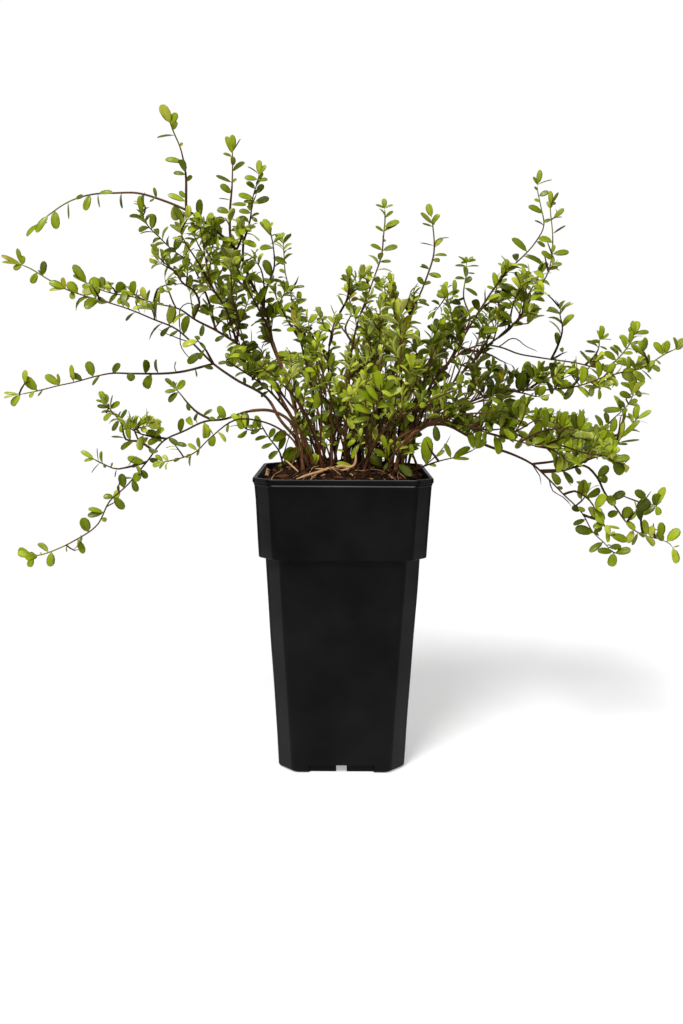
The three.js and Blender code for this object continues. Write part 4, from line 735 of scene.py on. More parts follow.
def srgb(r, g, b):
    """A colour given as 0 to 255, in linear values."""
    return tuple(c / 12.92 if c <= 0.04045 else ((c + 0.055) / 1.055) ** 2.4
                 for c in (r / 255, g / 255, b / 255))


class Curve:
    """A Bezier curve followed by arc length, with the slight wander of a grown twig."""

    def __init__(self, points, side, rng=None, wander=0.0, through=False):
        self.control = np.array(points, float)
        self.side = unit(side)
        self.params = np.linspace(0, 1, 121 if through else 61)
        line = self.through(self.params) if through else self.bezier(self.params)
        tangent = unit(np.gradient(line, axis=0))
        if wander:
            back = np.cross(tangent, self.side)
            window = np.sin(np.pi * self.params) ** 0.7
            for axis in (np.broadcast_to(self.side, back.shape), back):
                waves = sum(math.cos(rng.uniform(0, TURN))
                            * np.sin(k * np.pi * self.params + rng.uniform(0, TURN)) / k
                            for k in (2, 3, 5, 8))
                line = line + axis * (window * waves * wander)[:, None]
        self.line = line
        self.tangents = unit(np.gradient(line, axis=0))
        steps = np.linalg.norm(np.diff(line, axis=0), axis=1)
        self.reach = np.concatenate([[0], np.cumsum(steps)])
        self.length = float(self.reach[-1])

    def bezier(self, u):
        u = np.asarray(u, float)[..., None]
        v = 1 - u
        p = self.control
        if len(p) == 3:
            return v * v * p[0] + 2 * u * v * p[1] + u * u * p[2]
        return v ** 3 * p[0] + 3 * u * v * v * p[1] + 3 * u * u * v * p[2] + u ** 3 * p[3]

    def through(self, u):
        """A smooth line through every control point."""
        p = self.control
        knots = np.concatenate([[0], np.cumsum(np.linalg.norm(np.diff(p, axis=0), axis=1))])
        slopes = np.gradient(p, knots, axis=0)
        at = u * knots[-1]
        i = np.clip(np.searchsorted(knots, at, side="right") - 1, 0, len(p) - 2)
        span = (knots[i + 1] - knots[i])[:, None]
        w = (at - knots[i])[:, None] / span
        near, leave, arrive = 2 * w ** 3 - 3 * w ** 2 + 1, w ** 3 - 2 * w ** 2 + w, w ** 3 - w ** 2
        return (near * p[i] + leave * span * slopes[i]
                + (1 - near) * p[i + 1] + arrive * span * slopes[i + 1])

    def read(self, values, t):
        """The values at shares t of the length."""
        at = np.interp(np.asarray(t, float) * self.length, self.reach, np.arange(len(self.reach)))
        low = np.minimum(at.astype(int), len(self.reach) - 2)
        return lerp(values[low], values[low + 1], (at - low)[..., None])

    def point(self, t):
        return self.read(self.line, t)

    def tangent(self, t):
        return unit(self.read(self.tangents, t))

    def nearest(self, spot):
        """The point of the curve whose x and z are nearest to the given ones."""
        return self.line[np.argmin(np.hypot(self.line[:, 0] - spot[0], self.line[:, 2] - spot[1]))]


def shoot_curve(start, tip, rise, end, rng, wander):
    """A curve that leaves its start and reaches its tip with the given slopes and pulls."""
    start, tip = np.asarray(start, float), np.asarray(tip, float)
    bearing = unit([tip[0] - start[0], tip[1] - start[1], 0])

    def along(degrees):
        return bearing * math.cos(math.radians(degrees)) + UP * math.sin(math.radians(degrees))

    control = [start, start + along(rise[0]) * rise[1], tip - along(end[0]) * end[1], tip]
    return Curve(control, np.cross(UP, bearing), rng, wander)


def traced_curve(start, line, tip_y, rng, wander):
    """A curve from a point through a line of x, z, its y carried evenly to the tip's."""
    flat = np.array([(start[0], start[2]), *line], float)
    share = np.concatenate([[0], np.cumsum(np.linalg.norm(np.diff(flat, axis=0), axis=1))])
    y = lerp(start[1], tip_y, share / share[-1])
    points = np.column_stack([flat[:, 0], y, flat[:, 1]])
    bearing = unit([points[-1][0] - start[0], points[-1][1] - start[1] + 1e-6, 0])
    return Curve(points, np.cross(UP, bearing), rng, wander, through=True)


class Batch:
    """Faces of many small things, joined into one mesh."""

    def __init__(self):
        self.points, self.loops, self.sizes, self.slots, self.uvs = [], [], [], [], []
        self.count = 0

    def add(self, points, faces, slot=0, uv=None):
        """points (n, 3) in millimetres; faces (m, k) indices; slot one index or one for each face."""
        points, faces = np.asarray(points, float), np.asarray(faces, int)
        self.points.append(points)
        self.loops.append((faces + self.count).ravel())
        self.sizes.append(np.full(len(faces), faces.shape[1]))
        self.slots.append(np.broadcast_to(slot, (len(faces),)).astype(int))
        self.uvs.append(np.zeros((faces.size, 2)) if uv is None else np.asarray(uv, float).reshape(-1, 2))
        self.count += len(points)

    def make(self, name, materials, smooth=True):
        mesh = bpy.data.meshes.new(name)
        points = np.concatenate(self.points) * MM
        loops, sizes = np.concatenate(self.loops), np.concatenate(self.sizes)
        mesh.vertices.add(len(points))
        mesh.vertices.foreach_set("co", points.ravel())
        mesh.loops.add(len(loops))
        mesh.loops.foreach_set("vertex_index", loops)
        mesh.polygons.add(len(sizes))
        mesh.polygons.foreach_set("loop_start", np.concatenate([[0], np.cumsum(sizes)[:-1]]))
        mesh.polygons.foreach_set("loop_total", sizes)
        for material in materials:
            mesh.materials.append(material)
        mesh.polygons.foreach_set("material_index", np.concatenate(self.slots))
        mesh.uv_layers.new(name="UVMap").data.foreach_set("uv", np.concatenate(self.uvs).ravel())
        mesh.update(calc_edges=True)
        mesh.validate()
        mesh.polygons.foreach_set("use_smooth", np.full(len(mesh.polygons), smooth))
        piece = bpy.data.objects.new(name, mesh)
        bpy.context.scene.collection.objects.link(piece)
        return piece


def grid_faces(rings, sides):
    """Row and column of every face between closed rings, and its four corners."""
    rows, cols = np.meshgrid(np.arange(rings - 1), np.arange(sides), indexing="ij")
    a, b = rows * sides + cols, rows * sides + (cols + 1) % sides
    return rows, cols, np.stack([a, b, b + sides, a + sides], -1).reshape(-1, 4)


def skinned(rings, slots_of=None):
    """Closed rings joined by faces, with a flat face at each end."""
    rings = np.array(rings)
    count, sides = rings.shape[:2]
    points, faces = rings.reshape(-1, 3), grid_faces(count, sides)[2]
    batch = Batch()
    batch.add(points, faces, slots_of(points[faces]) if slots_of else 0)
    batch.add(rings[0], np.arange(sides)[::-1][None])
    batch.add(rings[-1], np.arange(sides)[None])
    return batch


def tube(batch, curve, t, radii, sides, slot=0, relief=None):
    """Skins rings of the given radii along a curve. slot is one index or one for each ring."""
    t, radii = np.asarray(t, float), np.asarray(radii, float)
    centre, tangent = curve.point(t), curve.tangent(t)
    back = unit(np.cross(tangent, curve.side))
    side = np.cross(back, tangent)
    angle = np.arange(sides) * 2 * math.pi / sides
    ring = np.cos(angle)[None, :, None] * side[:, None] + np.sin(angle)[None, :, None] * back[:, None]
    scale = np.ones((len(t), sides)) if relief is None else relief(t, angle)
    points = centre[:, None] + ring * (radii[:, None] * scale)[..., None]
    rows, cols, faces = grid_faces(len(t), sides)
    v = t * curve.length
    around = np.stack([cols, cols + 1, cols + 1, cols], -1) / sides
    lengths = np.stack([v[rows], v[rows], v[rows + 1], v[rows + 1]], -1)
    ring_slot = np.broadcast_to(slot, (len(t),))[:-1]
    batch.add(points.reshape(-1, 3), faces, np.repeat(ring_slot, sides),
              np.stack([around, lengths], -1).reshape(-1, 2))


# Leaf blade: the rib's half width, depth and column, rows with their half width, columns of its two faces
RIB_EDGE = 0.075
RIB_DROP = 0.09
RIB_COLUMN = 2
ROWS = np.array([0, 0.09, 0.26, 0.5, 0.75, 0.93, 1.0])
HALF = np.array([0.1, 0.18, 0.72, 0.98, 0.97, 0.62, 0.12])
TOP = np.array([-1, -0.52, -RIB_EDGE, RIB_EDGE, 0.52, 1])
UNDER = np.array([-0.52, 0, 0.52])


def leaf_faces():
    """Faces of one leaf, and the kind of each: 0 blade, 1 rib, 2 underside."""
    rows, tops, unders = len(ROWS), len(TOP), len(UNDER)
    top = np.arange(rows * tops).reshape(rows, tops)
    under = rows * tops + np.arange(rows * unders).reshape(rows, unders)
    below = np.concatenate([top[:, :1], under, top[:, -1:]], 1)
    faces, kinds = [], []
    for i in range(rows - 1):
        for j in range(tops - 1):
            faces.append([top[i, j], top[i, j + 1], top[i + 1, j + 1], top[i + 1, j]])
            kinds.append(1 if j == RIB_COLUMN else 0)
        for j in range(unders + 1):
            faces.append([below[i, j], below[i + 1, j], below[i + 1, j + 1], below[i, j + 1]])
            kinds.append(2)
    return np.array(faces), np.array(kinds)


LEAF_FACES, LEAF_KINDS = leaf_faces()


def add_leaves(batch, leaves):
    """Every leaf of a piece at once, each bent back along its length and rolled at its margins."""
    root, direction, normal, size, width, bend, fold, tone = (
        np.array([leaf[key] for leaf in leaves])
        for key in ("root", "direction", "normal", "size", "width", "bend", "fold", "tone"))
    normal = unit(normal - direction * np.sum(normal * direction, 1, keepdims=True))
    across = np.cross(direction, normal)
    start = 0.5 * bend[:, None]
    slope = start - bend[:, None] * ROWS
    along = (np.sin(start) - np.sin(slope)) / bend[:, None]
    lift = (np.cos(slope) - np.cos(start)) / bend[:, None]
    middle = root[:, None] + size[:, None, None] * (along[..., None] * direction[:, None]
                                                    + lift[..., None] * normal[:, None])
    face = np.cos(slope)[..., None] * normal[:, None] - np.sin(slope)[..., None] * direction[:, None]
    half = 0.5 * (size * width)[:, None] * HALF

    def spread(columns, drop):
        v = columns[None, None, :, None]
        flat = middle[:, :, None] + across[:, None, None] * v * half[..., None, None]
        rise = fold[:, None, None] * columns ** 2 * half[..., None] + drop
        return flat + face[:, :, None] * rise[..., None]

    groove = np.where(np.abs(TOP) > RIB_EDGE, 0.0, -RIB_DROP)
    solid = np.where((ROWS > 0) & (ROWS < 1), -LEAF_THICK, 0.0)[None, :, None]
    count = len(leaves)
    sides = spread(TOP, groove), spread(UNDER, solid)
    points = np.concatenate([side.reshape(count, -1, 3) for side in sides], 1)
    faces = LEAF_FACES[None] + (np.arange(count) * points.shape[1])[:, None, None]
    slots = np.array(TONE_SLOTS)[tone[:, None], LEAF_KINDS[None]]
    batch.add(points.reshape(-1, 3), faces.reshape(-1, 4), slots.ravel())


# Materials
def new_material(name, **constants):
    material = bpy.data.materials.new(name)
    material.use_nodes = True
    tree = material.node_tree
    shader = tree.nodes["Principled BSDF"]
    for socket, value in constants.items():
        shader.inputs[socket.replace("_", " ")].default_value = value
    return material, tree, shader


def add_node(tree, kind, **inputs):
    """A new node, each input named set to a value or linked to another node's output."""
    node = tree.nodes.new("ShaderNode" + kind)
    for socket, value in inputs.items():
        if isinstance(value, bpy.types.NodeSocket):
            tree.links.new(value, node.inputs[socket])
        else:
            node.inputs[socket].default_value = value
    return node


def noise(tree, scale, detail=4.0, source=None, rough=0.55):
    return add_node(tree, "TexNoise", Scale=scale, Detail=detail, Roughness=rough,
                    Vector=source or coordinates(tree)).outputs["Fac"]


def coordinates(tree, kind="Object"):
    for node in tree.nodes:
        if node.bl_idname == "ShaderNodeTexCoord":
            return node.outputs[kind]
    return tree.nodes.new("ShaderNodeTexCoord").outputs[kind]


def stretched(tree, scale, kind="UV"):
    return add_node(tree, "Mapping", Scale=scale, Vector=coordinates(tree, kind)).outputs["Vector"]


def ramp(tree, factor, stops):
    """The colour that a factor from 0 to 1 takes between stops of place and colour."""
    node = add_node(tree, "ValToRGB", Fac=factor)
    elements = node.color_ramp.elements
    while len(elements) < len(stops):
        elements.new(0.5)
    for element, (place, colour) in zip(elements, stops):
        element.position = place
        element.color = (*colour, 1)
    return node.outputs["Color"]


def tint(tree, shader, factor, stops):
    """Gives the surface the colours of a ramp."""
    tree.links.new(ramp(tree, factor, stops), shader.inputs["Base Color"])


def bump(tree, shader, height, strength, distance):
    node = add_node(tree, "Bump", Strength=strength, Distance=distance, Height=height)
    tree.links.new(node.outputs["Normal"], shader.inputs["Normal"])


def scaled(colour, k):
    return tuple(c * k for c in colour)


def leaf_material(name, colour, roughness, spread=0.16):
    material, tree, shader = new_material(name, Roughness=roughness, Specular_IOR_Level=0.18)
    tint(tree, shader, noise(tree, 260, 3),
         [(0.3, scaled(colour, 1 - spread)), (0.7, scaled(colour, 1 + spread))])
    bump(tree, shader, noise(tree, 900, 2), 0.25, 0.0002)
    return material


# Each tone's colour above and below, from the darkest old leaves to the palest new ones; the tone a leaf
# gets also carries painted light and shade
TONES = [
    ("dark", srgb(58, 67, 3), srgb(93, 100, 18)),
    ("deep", srgb(82, 94, 4), srgb(116, 124, 24)),
    ("mid", srgb(106, 119, 8), srgb(133, 143, 38)),
    ("bright", srgb(128, 143, 17), srgb(150, 160, 54)),
    ("young", srgb(149, 163, 32), srgb(169, 177, 76)),
    ("tip", srgb(173, 179, 56), srgb(189, 194, 98)),
    ("olive", srgb(147, 138, 20), srgb(161, 152, 48)),
]
LEAF_MATERIALS, TONE_SLOTS = [], []
for tone_name, above, below in TONES:
    rib = tuple(0.72 * a + 0.28 * b for a, b in zip(above, below))
    first = len(LEAF_MATERIALS)
    LEAF_MATERIALS.append(leaf_material(f"leaf_{tone_name}", above, 0.25))
    LEAF_MATERIALS.append(leaf_material(f"rib_{tone_name}", rib, 0.5, 0.06))
    LEAF_MATERIALS.append(leaf_material(f"under_{tone_name}", below, 0.6, 0.08))
    TONE_SLOTS.append([first, first + 1, first + 2])


def bark_material(name, dark, pale, streak):
    material, tree, shader = new_material(name, Roughness=0.68, Specular_IOR_Level=0.12)
    run = noise(tree, 1.0, 6, stretched(tree, (9, 0.22, 1)), 0.65)
    # Pale streaks of the bark, brightened to serve also as painted highlight
    tint(tree, shader, run, [(0.36, dark), (0.53, pale), (0.64, scaled(pale, 1.2)), (0.73, streak)])
    bump(tree, shader, run, 0.6, 0.0005)
    return material


BARK = bark_material("bark", srgb(44, 24, 11), srgb(118, 78, 51), srgb(216, 178, 148))
TWIG_OLD = bark_material("twig_bark", srgb(27, 14, 5), srgb(72, 47, 26), srgb(172, 138, 104))
TWIG_RED = bark_material("twig_red", srgb(56, 36, 16), srgb(98, 70, 38), srgb(158, 126, 86))
TWIG_YOUNG = bark_material("twig_young", srgb(98, 90, 28), srgb(130, 122, 42), srgb(156, 150, 66))
TWIG_MATERIALS = [TWIG_OLD, TWIG_RED, TWIG_YOUNG]


# The plant: limbs of every mass
def radius_at(thick, t):
    return lerp(thick, TIP_RADIUS, t ** TAPER)


class Limb:
    """Part of a curve that carries leaves from start to stop.

    order: 0 leader, 1 branch, sprig or young shoot, 2 twig, 3 fine twig, 4 dead twig. foot: share where its
    bark starts. keep: 1 where no leaf is left out. loose: left out where it would close an opening.
    """

    def __init__(self, curve, start, stop, thick, order, leaf, bush=0.0):
        self.curve, self.start, self.stop = curve, start, stop
        self.thick, self.order, self.leaf, self.bush = thick, order, leaf, bush
        self.hang, self.pitch, self.foot, self.keep, self.mood = False, 1, 0, 0, 0
        self.loose = order > 1

    @property
    def hidden(self):
        """True for a loose limb that would close an opening."""
        tested = (0.5,) if self.order > 1 else (0.3, 0.5, 0.7)
        return self.loose and any(in_opening(self.curve.point(t)) for t in tested)


def last_share(curve, leaf):
    """Where a limb ends, so that its last leaf reaches the curve's tip."""
    return 1 - 0.85 * leaf / curve.length


def grow_limbs(shoot, index):
    """The leader and branches of one mass, then side twigs and finer ones by the seeded rule."""
    rng = random.Random(SEED_STEP * (index + 1))
    leaf = shoot["leaf"]
    foot = (*shoot["foot"], SOIL_TOP_Z - ROOT_DEPTH)
    if "line" in shoot:
        leader = traced_curve(foot, shoot["line"], shoot["tip_y"], rng, LEADER_WANDER)
    else:
        leader = shoot_curve(foot, shoot["tip"], shoot["rise"], shoot["end"], rng, FREE_WANDER)
    stop = last_share(leader, leaf) * shoot.get("reach", 1)
    start, bush = shoot.get("first", shoot["bare"]), shoot.get("bush", 0)
    main = Limb(leader, start, stop, shoot["thick"], 0, leaf, bush)
    main.hang, main.pitch, main.foot = shoot.get("hang", False), shoot.get("pitch", 1), shoot["bare"]
    limbs = [main, *branches(shoot, leader, leaf, rng)]
    if shoot["bare"]:
        for length, place, spread in SUCKERS if shoot.get("suckers", 1) else ():
            limbs.append(sucker(rng, leader, leaf, length, vary(rng, place, spread)))
        for length in RISERS:
            limbs.append(sucker(rng, leader, leaf, length, 0, RISER_APART))
    for limb in limbs:
        limb.mood += shoot.get("mood", 0)
    for limb in [limb for limb in limbs if limb.bush]:
        pitch = TWIG_PITCH if limb.order == 0 else BRANCH_TWIG_PITCH
        limbs += side_twigs(rng, limb, pitch, limb.bush + BUSH_REACH, 2)
    for limb in [limb for limb in limbs if limb.order == 2 and limb.curve.length > FINE_FROM]:
        limbs += side_twigs(rng, limb, FINE_PITCH, FINE_REACH, 3)
    dead = []
    if shoot.get("dead", 1):
        dead += side_twigs(rng, Limb(leader, *DEAD_SPAN, 0, 0, leaf), DEAD_PITCH, DEAD_REACH, 4)
    for parent, tip_y, line in WITHERED:
        if parent == shoot["name"]:
            curve = traced_curve(leader.nearest(line[0]), line[1:], tip_y, rng, DEAD_WANDER)
            dead.append(Limb(curve, 0, 1, FINE_RADIUS, 4, leaf))
    return rng, limbs, dead


def branches(shoot, leader, leaf, rng):
    """The branches of a leader, first those given by their tip and then those that follow a line."""
    for parent, at, tip, rise, end in BRANCHES:
        if parent == shoot["name"]:
            curve = shoot_curve(leader.point(at), tip, rise, end, rng, BRANCH_WANDER)
            yield Limb(curve, BRANCH_FIRST, last_share(curve, leaf), BRANCH_RADIUS, 1, leaf, BRANCH_BUSH)
    known = {shoot["name"]: leader}
    for name, parent, tip_y, bush, line in TRACED:
        if parent in known:
            start = known[parent].nearest(line[0])
            curve = known[name] = traced_curve(start, line[1:], tip_y, rng, LINE_WANDER)
            pitch, size = HABITS.get(name, (1, 1))
            stop = last_share(curve, leaf)
            limb = Limb(curve, LINE_FIRST, stop, BRANCH_RADIUS, 1, LINE_LEAF * leaf * size, bush)
            limb.pitch = pitch
            yield limb


def nearest_place(limbs, x, z):
    """The place on a leader or branch that is nearest to x, z."""
    places = [limb.curve.nearest((x, z)) for limb in limbs if limb.order < 2]
    return min(places, key=lambda p: math.hypot(p[0] - x, p[2] - z))


def sprig(index, limbs, tip_y, line, leaf):
    """A short leafy twig with its own seed, from the nearest limb through the points of its line."""
    rng = random.Random(SPRIG_SEEDS + index)
    curve = traced_curve(nearest_place(limbs, *line[0]), line[1:], tip_y, rng, LINE_WANDER)
    limb = Limb(curve, SPRIG_FIRST, last_share(curve, leaf), SIDE_RADIUS, 1, leaf)
    limb.keep = 1
    return rng, limb


def sucker(rng, leader, leaf, length, t, apart=0):
    """A thin young shoot that leaves a leader near its foot, or the soil some way from it."""
    start = leader.point(t) + np.array([rng.uniform(-apart, apart), rng.uniform(-apart, apart), 0])
    heading = leader.tangent(0.5)
    angle = math.atan2(heading[1], heading[0]) + rng.gauss(0, 1.2)
    degrees = vary(rng, 74, 26)
    slope = math.radians(degrees)
    length = length * vary(rng, 1, 0.3)
    flat = math.cos(slope)
    tip = start + length * np.array([math.cos(angle) * flat, math.sin(angle) * flat, math.sin(slope)])
    curve = shoot_curve(start, tip, (degrees + vary(rng, 6, 20), 0.3 * length),
                        (degrees + vary(rng, 4, 30), 0.3 * length), rng, 0.02 * length)
    first = vary(rng, 0.66 if apart else 0.36, 0.2)
    bush = 6 if length > 50 and not apart else 0
    limb = Limb(curve, first, last_share(curve, leaf), SUCKER_RADIUS, 1, leaf * 1.05, bush)
    # Young shoots in front are paler as painted light, those behind darker as painted shade
    limb.pitch, limb.mood, limb.loose = 1.6, FRONT_PAINTED_LIGHT if start[1] < FRONT_Y else BACK_PAINTED_SHADE, True
    return limb


def side_twigs(rng, limb, pitch, reach, order):
    """Short twigs to both sides in turn along the lower part of a limb."""
    zone = LEADER_ZONE if limb.order == 0 else BRANCH_ZONE
    span = limb.curve.length * (limb.stop - limb.start) * zone
    count = int(span / pitch)
    twigs = []
    for k in range(count):
        share = (k + vary(rng, 0.5, 0.7)) / count
        t = lerp(limb.start, limb.stop, share * zone + 0.03)
        hand = 1 if k % 2 == 0 else -1
        length = max(5, reach * (1.2 - 0.6 * share) * vary(rng, 1, 0.9))
        start, tangent = limb.curve.point(t), limb.curve.tangent(t)
        back = np.cross(tangent, limb.curve.side)
        lift = 0.35 + 0.6 * (1 - abs(tangent[2]))
        direction = unit(tangent * 0.75 + limb.curve.side * hand * vary(rng, 0.55, 0.5)
                         + back * vary(rng, 0, 1.0) + UP * vary(rng, lift, 0.5))
        middle = start + direction * 0.5 * length
        tip = middle + direction * 0.3 * length + UP * vary(rng, 0.25, 0.3) * length
        if inside_pot(tip) or inside_pot(middle):
            continue
        curve = Curve([start, middle, tip], np.cross(direction, UP) + 1e-3, rng, 0.3)
        thick = SIDE_RADIUS if order < 3 else FINE_RADIUS
        twig = Limb(curve, vary(rng, 0.26, 0.2), 1, thick, order, limb.leaf * (0.94 if order == 2 else 0.86))
        twig.mood = limb.mood
        twigs.append(twig)
    return twigs


def inside_pot(p):
    """True in the pot's wall, below its rim or in the growing medium."""
    reach = max(abs(p[0]), abs(p[1]))
    clear_z = MOUND_CLEAR_Z if reach < MOUND_CLEAR_REACH else RIM_CLEAR_Z
    return reach <= RIM_CLEAR_REACH and p[2] < clear_z


def in_opening(p):
    """True where a leaf or twig would close an opening or hide a listed leaf.

    Both are judged by the photo's place, which is a fixed point of the frame.
    """
    in_front = (p[1] < fronts[:, 3]) & (p[1] > fronts[:, 3] - CLEAR_DEPTH)
    return bool(within(OPENINGS, p).any() or (within(fronts, p) & in_front).any())


def within(circles, p):
    """For each circle of x, z and radius, whether a point lies in it."""
    x, z = seen_at(p)
    return (circles[:, 0] - x) ** 2 + (circles[:, 1] - z) ** 2 < circles[:, 2] ** 2


def seen_at(p):
    """Where a line from the camera's place through a point meets the plane y = 0."""
    share = -CAMERA_PLACE[1] / (-CAMERA_PLACE[1] + p[1] * MM)
    return p[0] * share, CAMERA_PLACE[2] / MM + (p[2] - CAMERA_PLACE[2] / MM) * share


def exposure(p):
    """0 in the shade at the plant's heart, 1 at the outside of its reach."""
    return float(np.linalg.norm((p - HEART) / CROWN))


def thicket(p):
    """How deep a place lies in one of the shaded thickets."""
    return sum(depth * math.exp(-((float(p[0]) - x) ** 2 + (float(p[2]) - z) ** 2) / reach ** 2)
               for x, z, reach, depth in SHADED_THICKETS)


def shade_of(p):
    """Leaves are paler high up, paler at the outside as painted light, and darker in the thickets as painted
    shade.
    """
    high, out = min(1.2, max(0, (float(p[2]) - 180) / 150)), min(0.5, max(0, exposure(p) - 0.75))
    return SHADE + SHADE_OUTWARD * high + SHADE_OUTWARD * out - THICKET_PAINTED_SHADE * thicket(p)


def tone_of(rng, value):
    """The tone of a leaf, by how pale its place is and by chance."""
    value += rng.gauss(0, TONE_SPREAD)
    if rng.random() < OLIVE_SHARE:
        return OLIVE
    return sum(value >= limit for limit in TONE_LIMITS)


def leaf_at(rng, limb, t, turn, spread, size, value, leaves, hang=False):
    """Adds a leaf at share t of a limb, turned round it and spread from it in degrees.

    A level limb has broader, flatter leaves. A leaf that is in the way is left out.
    """
    curve = limb.curve
    tangent = curve.tangent(t)
    back = unit(np.cross(tangent, curve.side))
    side = np.cross(back, tangent)
    turn, spread = math.radians(turn), math.radians(spread)
    radial = unit((side * math.cos(turn) + back * math.sin(turn)) * (1, SIDEWAYS, 1))
    level = 1 - abs(float(tangent[2]))
    lift = vary(rng, -0.8 if hang else 0.35 * level, 0.25)
    direction = unit(radial * math.sin(spread) + tangent * math.cos(spread) + UP * lift)
    toward = np.array([rng.gauss(0, 0.4), -1 if rng.random() < 0.7 else 1, 0.3])
    normal = UP * (1.1 - 0.7 * level) + toward * (0.25 + 0.7 * level) + tangent * 0.3 - radial * 0.1
    normal = unit(normal - direction * float(normal @ direction))
    roll = math.radians(rng.gauss(0, ROLL_SPREAD))
    normal = normal * math.cos(roll) + np.cross(direction, normal) * math.sin(roll)
    root = curve.point(t)
    leaf = dict(root=root, direction=direction, normal=normal, size=size,
                width=vary(rng, lerp(LEAF_WIDTH, RUNNER_LEAF_WIDTH, level), 0.1), bend=vary(rng, *LEAF_BEND),
                fold=vary(rng, *LEAF_FOLD), tone=tone_of(rng, value))
    blocked = inside_pot(root + direction * size) or inside_pot(root + direction * 0.5 * size)
    if not (blocked or limb.hidden or in_opening(root + direction * 0.6 * size)):
        leaves.append(leaf)


def posed_leaf(rng, limbs, x, z, across, up, width, tone):
    """A listed leaf, its face to the front.

    It starts on the limb that is nearest to x, z. Its tip lies across and up from x, z.
    """
    root = nearest_place(limbs, x, z)
    reach = np.array([x + across - root[0], 0, z + up - root[2]])
    reach[1] = -vary(rng, 0.15, 0.3) * np.linalg.norm(reach)
    size = float(np.linalg.norm(reach))
    normal = np.array([rng.gauss(0, 0.3), -1, vary(rng, 0.5, 0.5)])
    return dict(root=root, direction=reach / size, normal=unit(normal), size=size, width=width / 100,
                bend=vary(rng, *POSED_BEND), fold=vary(rng, *POSED_FOLD), tone=tone)


def grow_leaves(rng, limb, leaves):
    """Leaves in a spiral along the limb, then a small rosette round the bud."""
    curve = limb.curve
    length = curve.length * (limb.stop - limb.start)
    level = 1 - abs(float(curve.tangent(0.7)[2]))
    pitch = lerp(UPRIGHT_PITCH, RUNNER_PITCH, level) * limb.pitch
    count = max(2, round(length / pitch))
    mood = rng.gauss(limb.mood, MOOD_SPREAD)
    turn = rng.uniform(0, 360)
    for k in range(count):
        share = (k + vary(rng, 0.6, 0.4)) / count
        t = lerp(limb.start, limb.stop, share)
        turn += SPIRAL + vary(rng, 0, SPIRAL_SPREAD)
        hang = limb.hang and share > 0.4
        out = exposure(curve.point(t))
        kept = min(1, LEAST_KEPT + KEPT_OUTWARD * out) * (HANGING_KEPT if hang else 1)
        kept = max(limb.keep, kept - thicket(curve.point(t)))
        if rng.random() > kept or limb.order < 2 and rng.random() > 0.45 + 2.2 * share + limb.keep:
            continue
        age = share if limb.order < 2 else 0.35 + 0.65 * share
        value = shade_of(curve.point(t)) + AGE_SHADE * age + mood
        size = limb.leaf * vary(rng, 1, SIZE_SPREAD)
        size *= (1.06 - 0.14 * share ** 3) * (0.86 + 0.14 * min(1, 6 * share))
        spread = vary(rng, LEAF_ANGLE - ANGLE_LOSS * share ** 3, ANGLE_SPREAD)
        leaf_at(rng, limb, t, turn, spread, size, value, leaves, hang)
    value = shade_of(curve.point(limb.stop)) + BUD_SHADE + mood
    for k, (spread, back) in enumerate(BUD_LEAVES[:5 if limb.order == 1 or level < 0.5 else 3]):
        size = limb.leaf * vary(rng, 0.92, 0.3) * (1 - 0.2 * level)
        leaf_at(rng, limb, limb.stop - back / curve.length, turn + 180 * k + 25 * (k // 2),
                vary(rng, spread, 12), size, value, leaves, limb.hang)


# Stems: sides, millimetres between rings, flare at the foot and its reach, and the share that runs on under
# the leaves
STEM_SIDES = 14
STEM_STEP = 1.1
FLARE = 0.25
FLARE_REACH = 4
STEM_OVERLAP = 0.012
# Twigs: sides, millimetres between rings, height of their knots
TWIG_SIDES = 6
TWIG_STEP = 3
KNOT = 0.13
# By order of limb, the shares of its length at which its bark turns red and then green
BARK_AGES = [(0.62, 0.86), (0.5, 0.82), (0, 0.5), (0, 0.5), (2, 2)]
# Old nodes on a stem, their height and length. Waves of its bark: height, turns round the stem, run along it
NODES = 7
NODE_HEIGHT = 0.11
NODE_LENGTH = 0.012
BARK_WAVES = ((0.05, 3, 2), (0.045, 5, -6), (0.035, 2, 37), (0.03, -3, 71))


def bark_relief(rng):
    """Ridges, small lumps and a swelling at each old node, as shares of the radius."""
    phases = [rng.uniform(0, TURN) for _ in range(6)]
    nodes = [rng.random() for _ in range(NODES)]

    def relief(t, angle):
        t, a = t[:, None], angle[None, :]
        scale = 1
        for phase, (height, around, along) in zip(phases, BARK_WAVES):
            scale = scale + height * np.sin(around * a + phase + along * t)
        for node in nodes:
            scale = scale + NODE_HEIGHT * np.exp(-((t - node) / NODE_LENGTH) ** 2)
        return scale

    return relief


def twig_radii(limb, t):
    """A leader runs on from its bare stem, and any other limb thins out evenly."""
    if limb.order == 0:
        return SLIM * radius_at(limb.thick, t)
    return lerp(limb.thick, min(limb.thick, TIP_RADIUS) * 0.7, t / max(limb.stop, 1e-6))


def add_twig(batch, limb):
    """Skins a limb with a knot at each leaf's place, in younger bark towards its tip."""
    curve = limb.curve
    span = curve.length * (limb.stop - limb.foot)
    t = np.linspace(limb.foot, limb.stop, max(4, round(span / TWIG_STEP)))
    radii = twig_radii(limb, t) * (1 + KNOT * np.sin(t * curve.length / UPRIGHT_PITCH * 2 * math.pi))
    radii[-1] *= 0.35
    reddens, greens = BARK_AGES[limb.order]
    tube(batch, curve, t, radii, TWIG_SIDES, np.where(t < reddens, 0, np.where(t < greens, 1, 2)))
